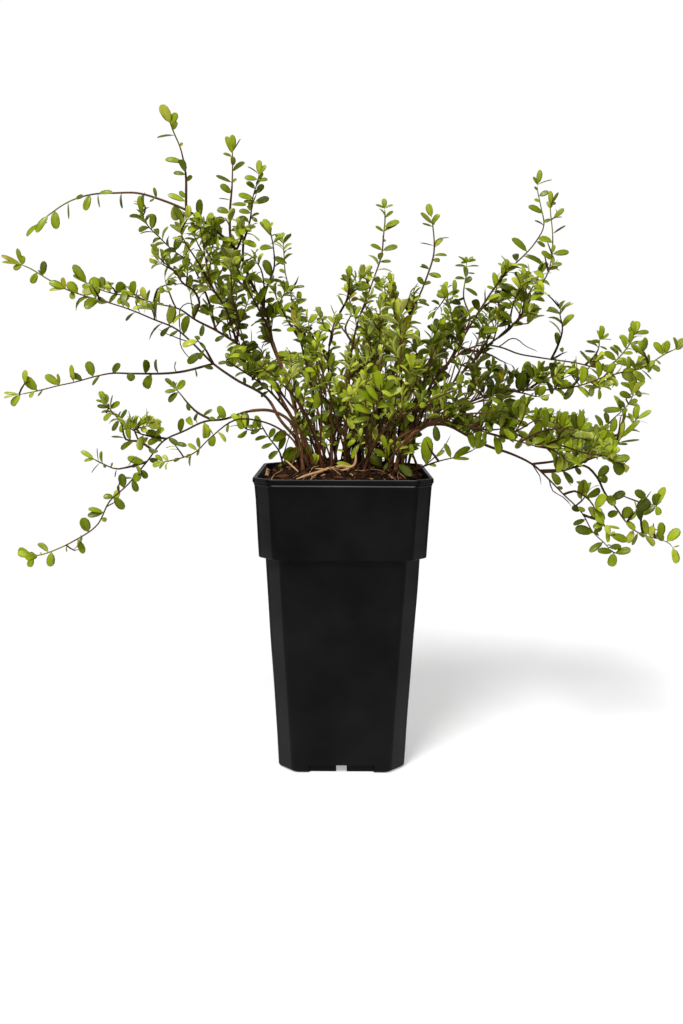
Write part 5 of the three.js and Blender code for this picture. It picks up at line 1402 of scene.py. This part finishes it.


# Limbs of every shoot, then the listed leaves and the circles that they cover
plants = {}
for index, shoot in enumerate(SHOOTS):
    rng, limbs, dead = grow_limbs(shoot, index)
    sprigs = []
    for k, (parent, *row) in enumerate(SPRIGS + STALKS):
        if parent == shoot["name"]:
            sprigs.append(sprig(k, limbs, *row))
            limbs.append(sprigs[-1][1])
    plants[shoot["name"]] = rng, limbs, sprigs, dead
posed = {}
for index, (name, rows) in enumerate(POSED.items()):
    rng = random.Random(POSED_SEEDS + index)
    posed[name] = [posed_leaf(rng, plants[name][1], *row) for row in rows]
fronts = []
for leaf in sum(posed.values(), []):
    middle = leaf["root"] + FRONT_PLACE * leaf["size"] * leaf["direction"]
    fronts.append((*seen_at(middle), FRONT_RADIUS * leaf["size"], middle[1] + FRONT_MARGIN))
fronts = np.array(fronts)

stems = Batch()
for region, names in REGIONS.items():
    leaves, twigs = [], Batch()
    for shoot in SHOOTS:
        if shoot["name"] not in names:
            continue
        rng, limbs, sprigs, dead = plants[shoot["name"]]
        for limb in limbs[:len(limbs) - len(sprigs)]:
            if shoot.get("seeded", 1):
                grow_leaves(rng, limb, leaves)
        for sprig_rng, limb in sprigs:
            if limb.leaf:
                grow_leaves(sprig_rng, limb, leaves)
        leaves += posed.get(shoot["name"], [])
        for limb in limbs + dead:
            if not limb.hidden:
                add_twig(twigs, limb)
        if shoot["bare"]:
            leader = limbs[0].curve
            rings = round(leader.length * shoot["bare"] / STEM_STEP)
            t = np.linspace(0, shoot["bare"] + STEM_OVERLAP, rings)
            flare = 1 + FLARE * np.exp(-t * leader.length / FLARE_REACH)
            radii = SLIM * radius_at(shoot["thick"], t) * flare
            tube(stems, leader, t, radii, STEM_SIDES, 0, bark_relief(rng))
    foliage = Batch()
    add_leaves(foliage, leaves)
    nodes = [f"leaves_{name}" for name in names]
    pieces = (foliage.make(f"foliage_{region}", LEAF_MATERIALS),
              twigs.make(f"twigs_{region}", TWIG_MATERIALS))
    for piece in pieces:
        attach(piece, "root")
        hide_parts(*nodes)

bark = stems.make("bare_stems", [BARK])
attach(bark, "root")
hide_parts(*[f"stem_{shoot['name']}" for shoot in SHOOTS if shoot["bare"]])


# Pot: how far its edges are rounded, and the steps of a rounding and of a face
ROUND = 5.5
ROUND_STEPS = 6
FACE_STEPS = 6


def pot_ring(width, z, corner=POT_CORNER, radius=ROUND, face_steps=FACE_STEPS):
    """A square with cut corners, its eight edges rounded, counter-clockwise from above."""
    half = width / 2
    inner = half - corner
    corners = []
    for side in range(4):
        c, s = round(math.cos(side * math.pi / 2)), round(math.sin(side * math.pi / 2))
        for x, y in ((half, -inner), (half, inner)):
            corners.append(np.array([x * c - y * s, x * s + y * c]))
    points = []
    for i, p in enumerate(corners):
        before, after = unit(corners[i - 1] - p), unit(corners[(i + 1) % 8] - p)
        cut = radius * math.tan(math.pi / 8)
        a, b = p + before * cut, p + after * cut
        for k in range(ROUND_STEPS + 1):
            u = k / ROUND_STEPS
            points.append((1 - u) ** 2 * a + 2 * u * (1 - u) * p + u * u * b)
        steps = face_steps if i % 2 == 0 else max(2, face_steps // 6)
        nxt = corners[(i + 1) % 8]
        stop = nxt + unit(p - nxt) * cut
        for k in range(1, steps):
            points.append(lerp(b, stop, k / steps))
    return np.column_stack([np.array(points), np.full(len(points), z)])


def rounded_profile(points, radius, steps=3):
    """(width, z) points with each inside corner of the list rounded."""
    out = [points[0]]
    for before, p, after in zip(points, points[1:], points[2:]):
        p, u, v = (np.array(q) * (0.5, 1) for q in (p, before, after))
        cut = min(radius, 0.45 * np.linalg.norm(u - p), 0.45 * np.linalg.norm(v - p))
        a, b = p + unit(u - p) * cut, p + unit(v - p) * cut
        for k in range(steps + 1):
            w = k / steps
            q = (1 - w) ** 2 * a + 2 * w * (1 - w) * p + w * w * b
            out.append((2 * q[0], q[1]))
    out.append(points[-1])
    return out


def filled(points, step):
    """The same profile with long runs divided."""
    out = [points[0]]
    for p, q in zip(points, points[1:]):
        pieces = max(1, round(math.hypot((q[0] - p[0]) / 2, q[1] - p[1]) / step))
        out += [tuple(lerp(np.array(p), np.array(q), k / pieces)) for k in range(1, pieces + 1)]
    return out


def pot_bow(x, y, z):
    """The slight unevenness of a moulded wall, in millimetres."""
    return (0.14 * np.sin(x / 17 + z / 23) + 0.12 * np.sin(y / 15 - z / 31 + 1)
            + 0.08 * np.sin(z / 9 + x / 29))


def make_pot():
    """The shell from its foot round the lip to its inside floor, with the cuts of its underside."""
    profile = rounded_profile([
        (20, 0), (FOOT_WIDTH - 3, 0), (FOOT_WIDTH, 1.5), (BODY_TOP_WIDTH, BODY_TOP_Z),
        (COLLAR_FOOT_WIDTH, BODY_TOP_Z + COLLAR_STEP), (COLLAR_TOP_WIDTH, RIDGE_Z - 0.7),
        (COLLAR_TOP_WIDTH + 0.9, RIDGE_Z), (COLLAR_TOP_WIDTH + 0.2, RIDGE_Z + 0.6), (LIP_WIDTH, LIP_Z),
        (LIP_WIDTH, POT_HEIGHT), (MOUTH_WIDTH, POT_HEIGHT),
        (COLLAR_FOOT_WIDTH - 2 * POT_WALL, BODY_TOP_Z + COLLAR_STEP + POT_WALL),
        (BODY_TOP_WIDTH - 2 * POT_WALL, BODY_TOP_Z + POT_WALL),
        (FOOT_WIDTH - 2 * POT_WALL, FLOOR_Z), (20, FLOOR_Z),
    ], 0.6)
    rings = []
    for width, z in filled(profile, 9):
        ring = pot_ring(width, z, min(POT_CORNER, width * 0.2))
        outward = unit(ring * (1, 1, 0))
        share = np.clip((z - 2) / 20, 0, 1) * np.clip((178 - z) / 10, 0, 1)
        rings.append(ring + outward * (pot_bow(ring[:, 0], ring[:, 1], z) * share)[:, None])
    pot = skinned(rings, pot_slots).make("pot_shell", [POT_PLASTIC, POT_PAINTED_LIGHT_CORNERS, POT_PAINTED_HIGHLIGHT])
    weld(pot)
    for cutter in pot_cutters():
        cut_with(pot, cutter)
    pot.data.polygons.foreach_set("use_smooth", np.ones(len(pot.data.polygons), bool))
    pot.data.set_sharp_from_angle(angle=math.radians(38))
    return pot


def pot_slots(corners):
    """A painted highlight on the ridge and the lip's top edge, cut corners outside paler as painted light,
    plain plastic elsewhere.
    """
    middle = corners.mean(1)
    x, y, z = np.abs(middle[:, 0]), np.abs(middle[:, 1]), middle[:, 2]
    wide = np.maximum(x, y)
    cut = (x + y > 2 * wide - POT_CORNER * 0.72) & (x + y > 60)
    # Cut corners outside take a paler grey, as painted light from the sides
    slots = np.where(cut & outside_cut(x, y, z), 1, 0)
    # The ridge crest on the flat faces and the lip's top edge take a pale grey as painted highlight
    ridge = (np.abs(z - RIDGE_Z) < 0.4) & (wide > COLLAR_TOP_WIDTH / 2 + 0.2) & ~cut
    lip = (z > POT_HEIGHT - 0.42) & (wide > LIP_WIDTH / 2 - 0.5)
    return np.where(ridge | lip, 2, slots)


def outside_cut(x, y, z):
    """True on the outer skin of a cut corner."""
    width = np.interp(z, [0, BODY_TOP_Z, BODY_TOP_Z + 0.4, RIDGE_Z, POT_HEIGHT],
                      [FOOT_WIDTH, BODY_TOP_WIDTH, COLLAR_FOOT_WIDTH, COLLAR_TOP_WIDTH, LIP_WIDTH])
    return x + y > width - POT_CORNER - 1.0


def weld(piece):
    """Joins points that share a place."""
    modifier = piece.modifiers.new("weld", "WELD")
    modifier.merge_threshold = 1e-5
    apply_modifiers(piece)


def apply_modifiers(piece):
    graph = bpy.context.evaluated_depsgraph_get()
    graph.update()
    made = bpy.data.meshes.new_from_object(piece.evaluated_get(graph))
    old = piece.data
    piece.modifiers.clear()
    piece.data = made
    bpy.data.meshes.remove(old)


def cut_with(piece, cutter):
    """Takes a cutter out of a piece and removes the cutter."""
    modifier = piece.modifiers.new("cut", "BOOLEAN")
    modifier.operation = "DIFFERENCE"
    modifier.solver = "EXACT"
    modifier.object = cutter
    apply_modifiers(piece)
    bpy.data.objects.remove(cutter)


def prism(outline, low, high):
    """A cutter with an outline in millimetres, from one height to another."""
    n = len(outline)
    points = [(x, y, z) for z in (low, high) for x, y in outline]
    batch = Batch()
    batch.add(points, [[i, (i + 1) % n, n + (i + 1) % n, n + i] for i in range(n)])
    batch.loops.append(np.arange(n)[::-1])
    batch.loops.append(np.arange(n) + n)
    batch.sizes.append(np.array([n, n]))
    batch.slots.append(np.zeros(2, int))
    batch.uvs.append(np.zeros((2 * n, 2)))
    return batch.make("cutter", [])


def rounded_box(width, depth, x=0.0, y=0.0, radius=1.6):
    outline = []
    for cx, cy, first in ((1, -1, -90), (1, 1, 0), (-1, 1, 90), (-1, -1, 180)):
        for k in range(5):
            a = math.radians(first + 22.5 * k)
            outline.append((x + cx * (width / 2 - radius) + radius * math.cos(a),
                            y + cy * (depth / 2 - radius) + radius * math.sin(a)))
    return outline


def pot_cutters():
    yield prism(rounded_box(LIP_WIDTH, CHANNEL_WIDTH), -1, FOOT_RECESS)
    yield prism(rounded_box(CHANNEL_WIDTH, LIP_WIDTH), -1, FOOT_RECESS)
    for x, y in ((1, 0), (0, 1), (-1, 0), (0, -1)):
        width = 2 * NOTCH_DEPTH if x else NOTCH_WIDTH
        depth = 2 * NOTCH_DEPTH if y else NOTCH_WIDTH
        yield prism(rounded_box(width, depth, x * FOOT_WIDTH / 2, y * FOOT_WIDTH / 2), -1, FOOT_RECESS)
    for x, y in DRAIN_PLACES:
        circle = [(x * DRAIN_OFFSET + DRAIN_RADIUS * math.cos(a),
                   y * DRAIN_OFFSET + DRAIN_RADIUS * math.sin(a)) for a in np.arange(24) * math.pi / 12]
        yield prism(circle, -1, FLOOR_Z + 1)


def pot_plastic(name, low, high):
    """Matt moulded plastic, cloudy between two greys, with fine dust and handling marks."""
    material, tree, shader = new_material(name, Specular_IOR_Level=0.06)
    plain = ramp(tree, noise(tree, 22, 3), [(0.35, srgb(low, low, low)), (0.65, srgb(high, high, high))])
    specks = ramp(tree, noise(tree, 480, 5, rough=0.75), [(0.68, (0, 0, 0)), (0.82, (0.03, 0.03, 0.028))])
    add = tree.nodes.new("ShaderNodeMix")
    add.data_type, add.blend_type = "RGBA", "ADD"
    add.inputs["Factor"].default_value = 1
    tree.links.new(plain, add.inputs["A"])
    tree.links.new(specks, add.inputs["B"])
    tree.links.new(add.outputs["Result"], shader.inputs["Base Color"])
    gloss = ramp(tree, noise(tree, 45, 4), [(0.3, (0.36,) * 3), (0.7, (0.52,) * 3)])
    tree.links.new(gloss, shader.inputs["Roughness"])
    bump(tree, shader, noise(tree, 700, 3), 0.25, 0.0002)
    return material


POT_PLASTIC = pot_plastic("pot_plastic", 7, 17)
# A paler grey for the cut corners, as painted light from the sides
POT_PAINTED_LIGHT_CORNERS = pot_plastic("pot_corners_painted_light", 22, 34)
# Pale grey as painted highlight for the ridge and the lip's top edge
POT_PAINTED_HIGHLIGHT = pot_plastic("pot_painted_highlight", 66, 100)
pot = make_pot()
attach(pot, "root")
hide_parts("pot")


# Growing medium: a lumpy mound with bark chips, rootlets and one bare runner
SOIL_WALL = 1.35
SOIL_BELT_Z = 60
SOIL_ROUND = 2.2
SOIL_FACE_STEPS = 30
MOUND_RINGS = 56
MOUND_REACH = 49.5
CHIP_COUNT = 620
CHIP_REACH = 47
CHIP_CORNER_REACH = 84
CHIP_LENGTHS = [1.4, 2, 2.6, 3.4, 5.2]
THREAD_COUNT = 34
THREAD_REACH = 44


def lumps(x, y):
    """Fine unevenness of the mound, in millimetres, the same at each run."""
    rng = random.Random(41)
    z = np.zeros_like(x)
    for size, height in ((26, 1.0), (11, 0.7), (5.2, 0.55), (2.7, 0.4)):
        for _ in range(5):
            a, phase = rng.uniform(0, TURN), rng.uniform(0, TURN)
            bend = rng.uniform(0.6, 1.4)
            z = z + height * 0.5 * np.sin((x * math.cos(a) + y * math.sin(a)) * TURN / size / bend + phase
                                          + 1.3 * np.sin((y - x) / size / 1.7 + phase))
    return z


def mound(x, y):
    """Height of the mound."""
    reach = np.maximum(np.maximum(np.abs(x), np.abs(y)), (np.abs(x) + np.abs(y)) * 0.76)
    edge = SOIL_SHOULDER_WIDTH / 2
    z = np.interp(reach, [0, SOIL_TOP_WIDTH / 2, edge, MOUND_REACH],
                  [SOIL_TOP_Z + 0.5, SOIL_TOP_Z - 0.6, SOIL_SHOULDER_Z - 1.2, SOIL_EDGE_Z])
    return z + lumps(x, y) * np.interp(reach, [44, MOUND_REACH], [1, 0.25])


def make_soil():
    """The filling of the pot, its sides a gap away from the wall, closed by the mound."""
    heights = [FLOOR_Z + GAP, SOIL_BELT_Z, BODY_TOP_Z, BODY_TOP_Z + 3, SOIL_EDGE_Z]
    foot, body, collar = (width - 2 * SOIL_WALL - 2 * GAP
                          for width in (FOOT_WIDTH, BODY_TOP_WIDTH, COLLAR_FOOT_WIDTH))
    belt = lerp(foot, body, (SOIL_BELT_Z - heights[0]) / (BODY_TOP_Z - heights[0]))
    widths = [foot, belt, body, collar, MOUTH_WIDTH - 1.4]
    rings = [pot_ring(w, z, POT_CORNER, SOIL_ROUND, SOIL_FACE_STEPS) for w, z in zip(widths, heights)]
    rim = rings[-1]
    for k in range(1, MOUND_RINGS):
        ring = rim * (1, 1, 0) * (1 - k / MOUND_RINGS) ** 0.85
        ring[:, 2] = mound(ring[:, 0], ring[:, 1])
        rings.append(ring)
    soil = skinned(rings).make("soil_mound", [SOIL])
    weld(soil)
    return soil


def soil_material():
    material, tree, shader = new_material("soil", Roughness=0.95, Specular_IOR_Level=0.15)
    grain = noise(tree, 320, 6, rough=0.7)
    tint(tree, shader, grain, [(0.34, srgb(8, 3, 1)), (0.52, srgb(36, 19, 9)), (0.64, srgb(86, 52, 27)),
                               (0.74, srgb(160, 122, 84))])
    bump(tree, shader, grain, 0.9, 0.0012)
    return material


SOIL = soil_material()


def chip_material(name, colour):
    material, tree, shader = new_material(name, Roughness=0.85, Specular_IOR_Level=0.2)
    grain = noise(tree, 500, 4, stretched(tree, (1, 1, 0.3), "Object"))
    tint(tree, shader, grain, [(0.3, scaled(colour, 0.6)), (0.7, scaled(colour, 1.35))])
    bump(tree, shader, grain, 0.7, 0.0006)
    return material


CHIPS = [chip_material("chip_dark", srgb(34, 20, 12)), chip_material("chip_brown", srgb(98, 58, 32)),
         chip_material("chip_tan", srgb(176, 136, 98))]
BOX_FACES = [[0, 3, 2, 1], [4, 5, 6, 7], [0, 1, 5, 4], [1, 2, 6, 5], [2, 3, 7, 6], [3, 0, 4, 7]]


def make_chips():
    """Crumbs of bark, each a box with moved corners, strewn over the mound."""
    rng = random.Random(77)
    batch = Batch()
    for _ in range(CHIP_COUNT):
        x, y = rng.uniform(-CHIP_REACH, CHIP_REACH), rng.uniform(-CHIP_REACH, CHIP_REACH)
        if abs(x) + abs(y) > CHIP_CORNER_REACH:
            continue
        long = rng.choice(CHIP_LENGTHS)
        size = np.array([long, long * rng.uniform(0.3, 0.7), rng.uniform(0.4, 1.1)])
        corners = np.array([(-1, -1, -1), (1, -1, -1), (1, 1, -1), (-1, 1, -1),
                            (-1, -1, 1), (1, -1, 1), (1, 1, 1), (-1, 1, 1)], float) * 0.5
        corners += np.array([[rng.uniform(-0.17, 0.17) for _ in range(3)] for _ in range(8)])
        angles = rng.uniform(0, TURN), rng.gauss(0, 0.35), rng.gauss(0, 0.35)
        (cy, sy), (cp, sp), (cr, sr) = ((math.cos(angle), math.sin(angle)) for angle in angles)
        turn = (np.array([[cy, -sy, 0], [sy, cy, 0], [0, 0, 1]])
                @ np.array([[cp, 0, sp], [0, 1, 0], [-sp, 0, cp]])
                @ np.array([[1, 0, 0], [0, cr, -sr], [0, sr, cr]]))
        z = float(mound(np.array(x), np.array(y))) + 0.25
        batch.add(corners * size @ turn.T + (x, y, z), BOX_FACES, rng.choices([0, 1, 2], [5, 4, 1])[0])
    return batch.make("bark_chips", CHIPS, smooth=False)


ROOT_PALE = bark_material("root_pale", srgb(150, 110, 70), srgb(206, 164, 116), srgb(226, 194, 150))


# Bare runners that lie on the mound: radius, line of x, y, z
RUNNERS = [
    (0.85, [(-27, -45, 180.6), (-20, -43, 182.9), (-14, -41, 184.4), (-8, -38, 185.8), (-1, -35, 187.2),
            (4, -33, 186.4), (6.4, -31, 187.5), (7.5, -30, 191.6), (7, -29, 196)]),
    (0.6, [(-16.5, -34, 185.6), (-12, -35, 185.3), (-6, -36, 184.9), (0, -36, 185), (6.4, -31, 187.2)]),
    (0.4, [(-1, -37, 184.8), (-8, -40, 183.6), (-13, -42, 182.2)]),
    (0.5, [(-34, -29, 190), (-30, -34, 187.2), (-26, -38, 184)]),
]


def make_rootlets():
    """Fine roots and dry threads on the mound, and the bare pale runner at its front."""
    rng = random.Random(91)
    batch = Batch()
    for _ in range(THREAD_COUNT):
        x, y = rng.uniform(-THREAD_REACH, THREAD_REACH), rng.uniform(-THREAD_REACH, THREAD_REACH)
        heading = rng.uniform(0, TURN)
        line = []
        for _ in range(4):
            x, y = np.clip((x, y), -THREAD_REACH - 1, THREAD_REACH + 1)
            line.append([x, y, float(mound(np.array(x), np.array(y))) + rng.uniform(0.2, 1.6)])
            heading += rng.gauss(0, 0.6)
            step = rng.uniform(3, 8)
            x, y = x + step * math.cos(heading), y + step * math.sin(heading)
        thread(batch, line, rng.uniform(0.12, 0.26))
    for radius, line in RUNNERS:
        thread(batch, line, radius)
    return batch.make("rootlets", [ROOT_PALE])


def thread(batch, line, radius):
    """A thin root through points in millimetres."""
    line = np.array(line, float)
    bearing = line[-1] - line[0]
    curve = Curve(line, np.cross(UP, bearing * (1, 1, 0) + (1e-3, 0, 0)), through=True)
    t = np.linspace(0, 1, max(5, round(curve.length / 1.2)))
    radii = radius * np.minimum(1, 0.3 + 5 * np.minimum(t, 1 - t)) * (1 + 0.1 * np.sin(t * 21))
    tube(batch, curve, t, radii, 7)


soil = make_soil()
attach(soil, "root")
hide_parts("soil")
for piece, slot_name in ((make_chips(), "growing_medium"), (make_rootlets(), "bark")):
    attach(piece, "root")


# Floor, light and camera
FLOOR_RADIUS = 400
FLOOR_SIDES = 96
CAMERA_PITCH = 0.1485
CAMERA_ROLL = -0.0055
FOCAL_PIXELS = 987.46
IMAGE_HEIGHT = 1024
SENSOR = 36


def make_floor():
    """A pale disc that also glows a little, so that it is white around the pot's shadow."""
    batch = Batch()
    turns = np.arange(FLOOR_SIDES) * math.pi / (FLOOR_SIDES / 2)
    circle = np.column_stack([np.cos(turns), np.sin(turns), 0 * turns]) * FLOOR_RADIUS
    batch.add(circle, np.arange(FLOOR_SIDES)[None])
    material, tree, shader = new_material("floor", Roughness=0.9, Specular_IOR_Level=0.1,
                                          Emission_Strength=0.38, Emission_Color=(1, 1, 1, 1))
    tint(tree, shader, noise(tree, 8, 2), [(0.3, (0.6,) * 3), (0.7, (0.63,) * 3)])
    return batch.make("floor", [material])


def make_sun(name, toward, degrees, strength):
    """A soft distant light that shines from the given direction."""
    light = bpy.data.lights.new(name, "SUN")
    light.angle = math.radians(degrees)
    light.energy = strength
    lamp = bpy.data.objects.new(name, light)
    bpy.context.scene.collection.objects.link(lamp)
    away = unit(toward)
    side = unit(np.cross(UP, away))
    set_axes(lamp, side, np.cross(away, side), away, (0, 0, 1))


def set_axes(thing, x, y, z, place):
    """Turns an object to the given axes and moves it to a place."""
    columns = np.column_stack([x, y, z, place])
    thing.matrix_world = Matrix([*columns.tolist(), [0, 0, 0, 1]])


def make_world():
    """White where the camera sees it, and weaker where it lights the plant."""
    world = bpy.data.worlds.new("studio")
    world.use_nodes = True
    tree = world.node_tree
    tree.nodes.clear()
    seen, lit = (add_node(tree, "Background", Strength=strength, Color=(1, 1, 1, 1))
                 for strength in (1.0, 0.2))
    mix = add_node(tree, "MixShader", Fac=add_node(tree, "LightPath").outputs["Is Camera Ray"])
    tree.links.new(lit.outputs[0], mix.inputs[1])
    tree.links.new(seen.outputs[0], mix.inputs[2])
    tree.links.new(mix.outputs[0], add_node(tree, "OutputWorld").inputs[0])
    bpy.context.scene.world = world


def make_camera():
    """The camera at the photo's place, fitted to the edges of the pot."""
    camera = bpy.data.cameras.new("camera")
    camera.sensor_fit = "AUTO"
    camera.sensor_width = SENSOR
    camera.lens = FOCAL_PIXELS * SENSOR / IMAGE_HEIGHT
    camera.clip_start, camera.clip_end = 0.01, 20
    holder = bpy.data.objects.new("camera", camera)
    bpy.context.scene.collection.objects.link(holder)
    forward = np.array([0, math.cos(CAMERA_PITCH), -math.sin(CAMERA_PITCH)])
    right, up = np.array([1.0, 0, 0]), np.array([0, math.sin(CAMERA_PITCH), math.cos(CAMERA_PITCH)])
    c, s = math.cos(CAMERA_ROLL), math.sin(CAMERA_ROLL)
    set_axes(holder, right * c - up * s, right * s + up * c, -forward, CAMERA_PLACE)
    bpy.context.scene.camera = holder


make_floor()
make_world()
make_sun("key", (-0.35, -0.75, 1.0), 20, 3.3)
make_sun("fill", (0.15, -1.0, 0.35), 50, 0.95)
make_sun("back", (0.25, 0.9, 0.55), 60, 0.8)
make_camera()
bpy.context.scene.view_settings.view_transform = "Standard"
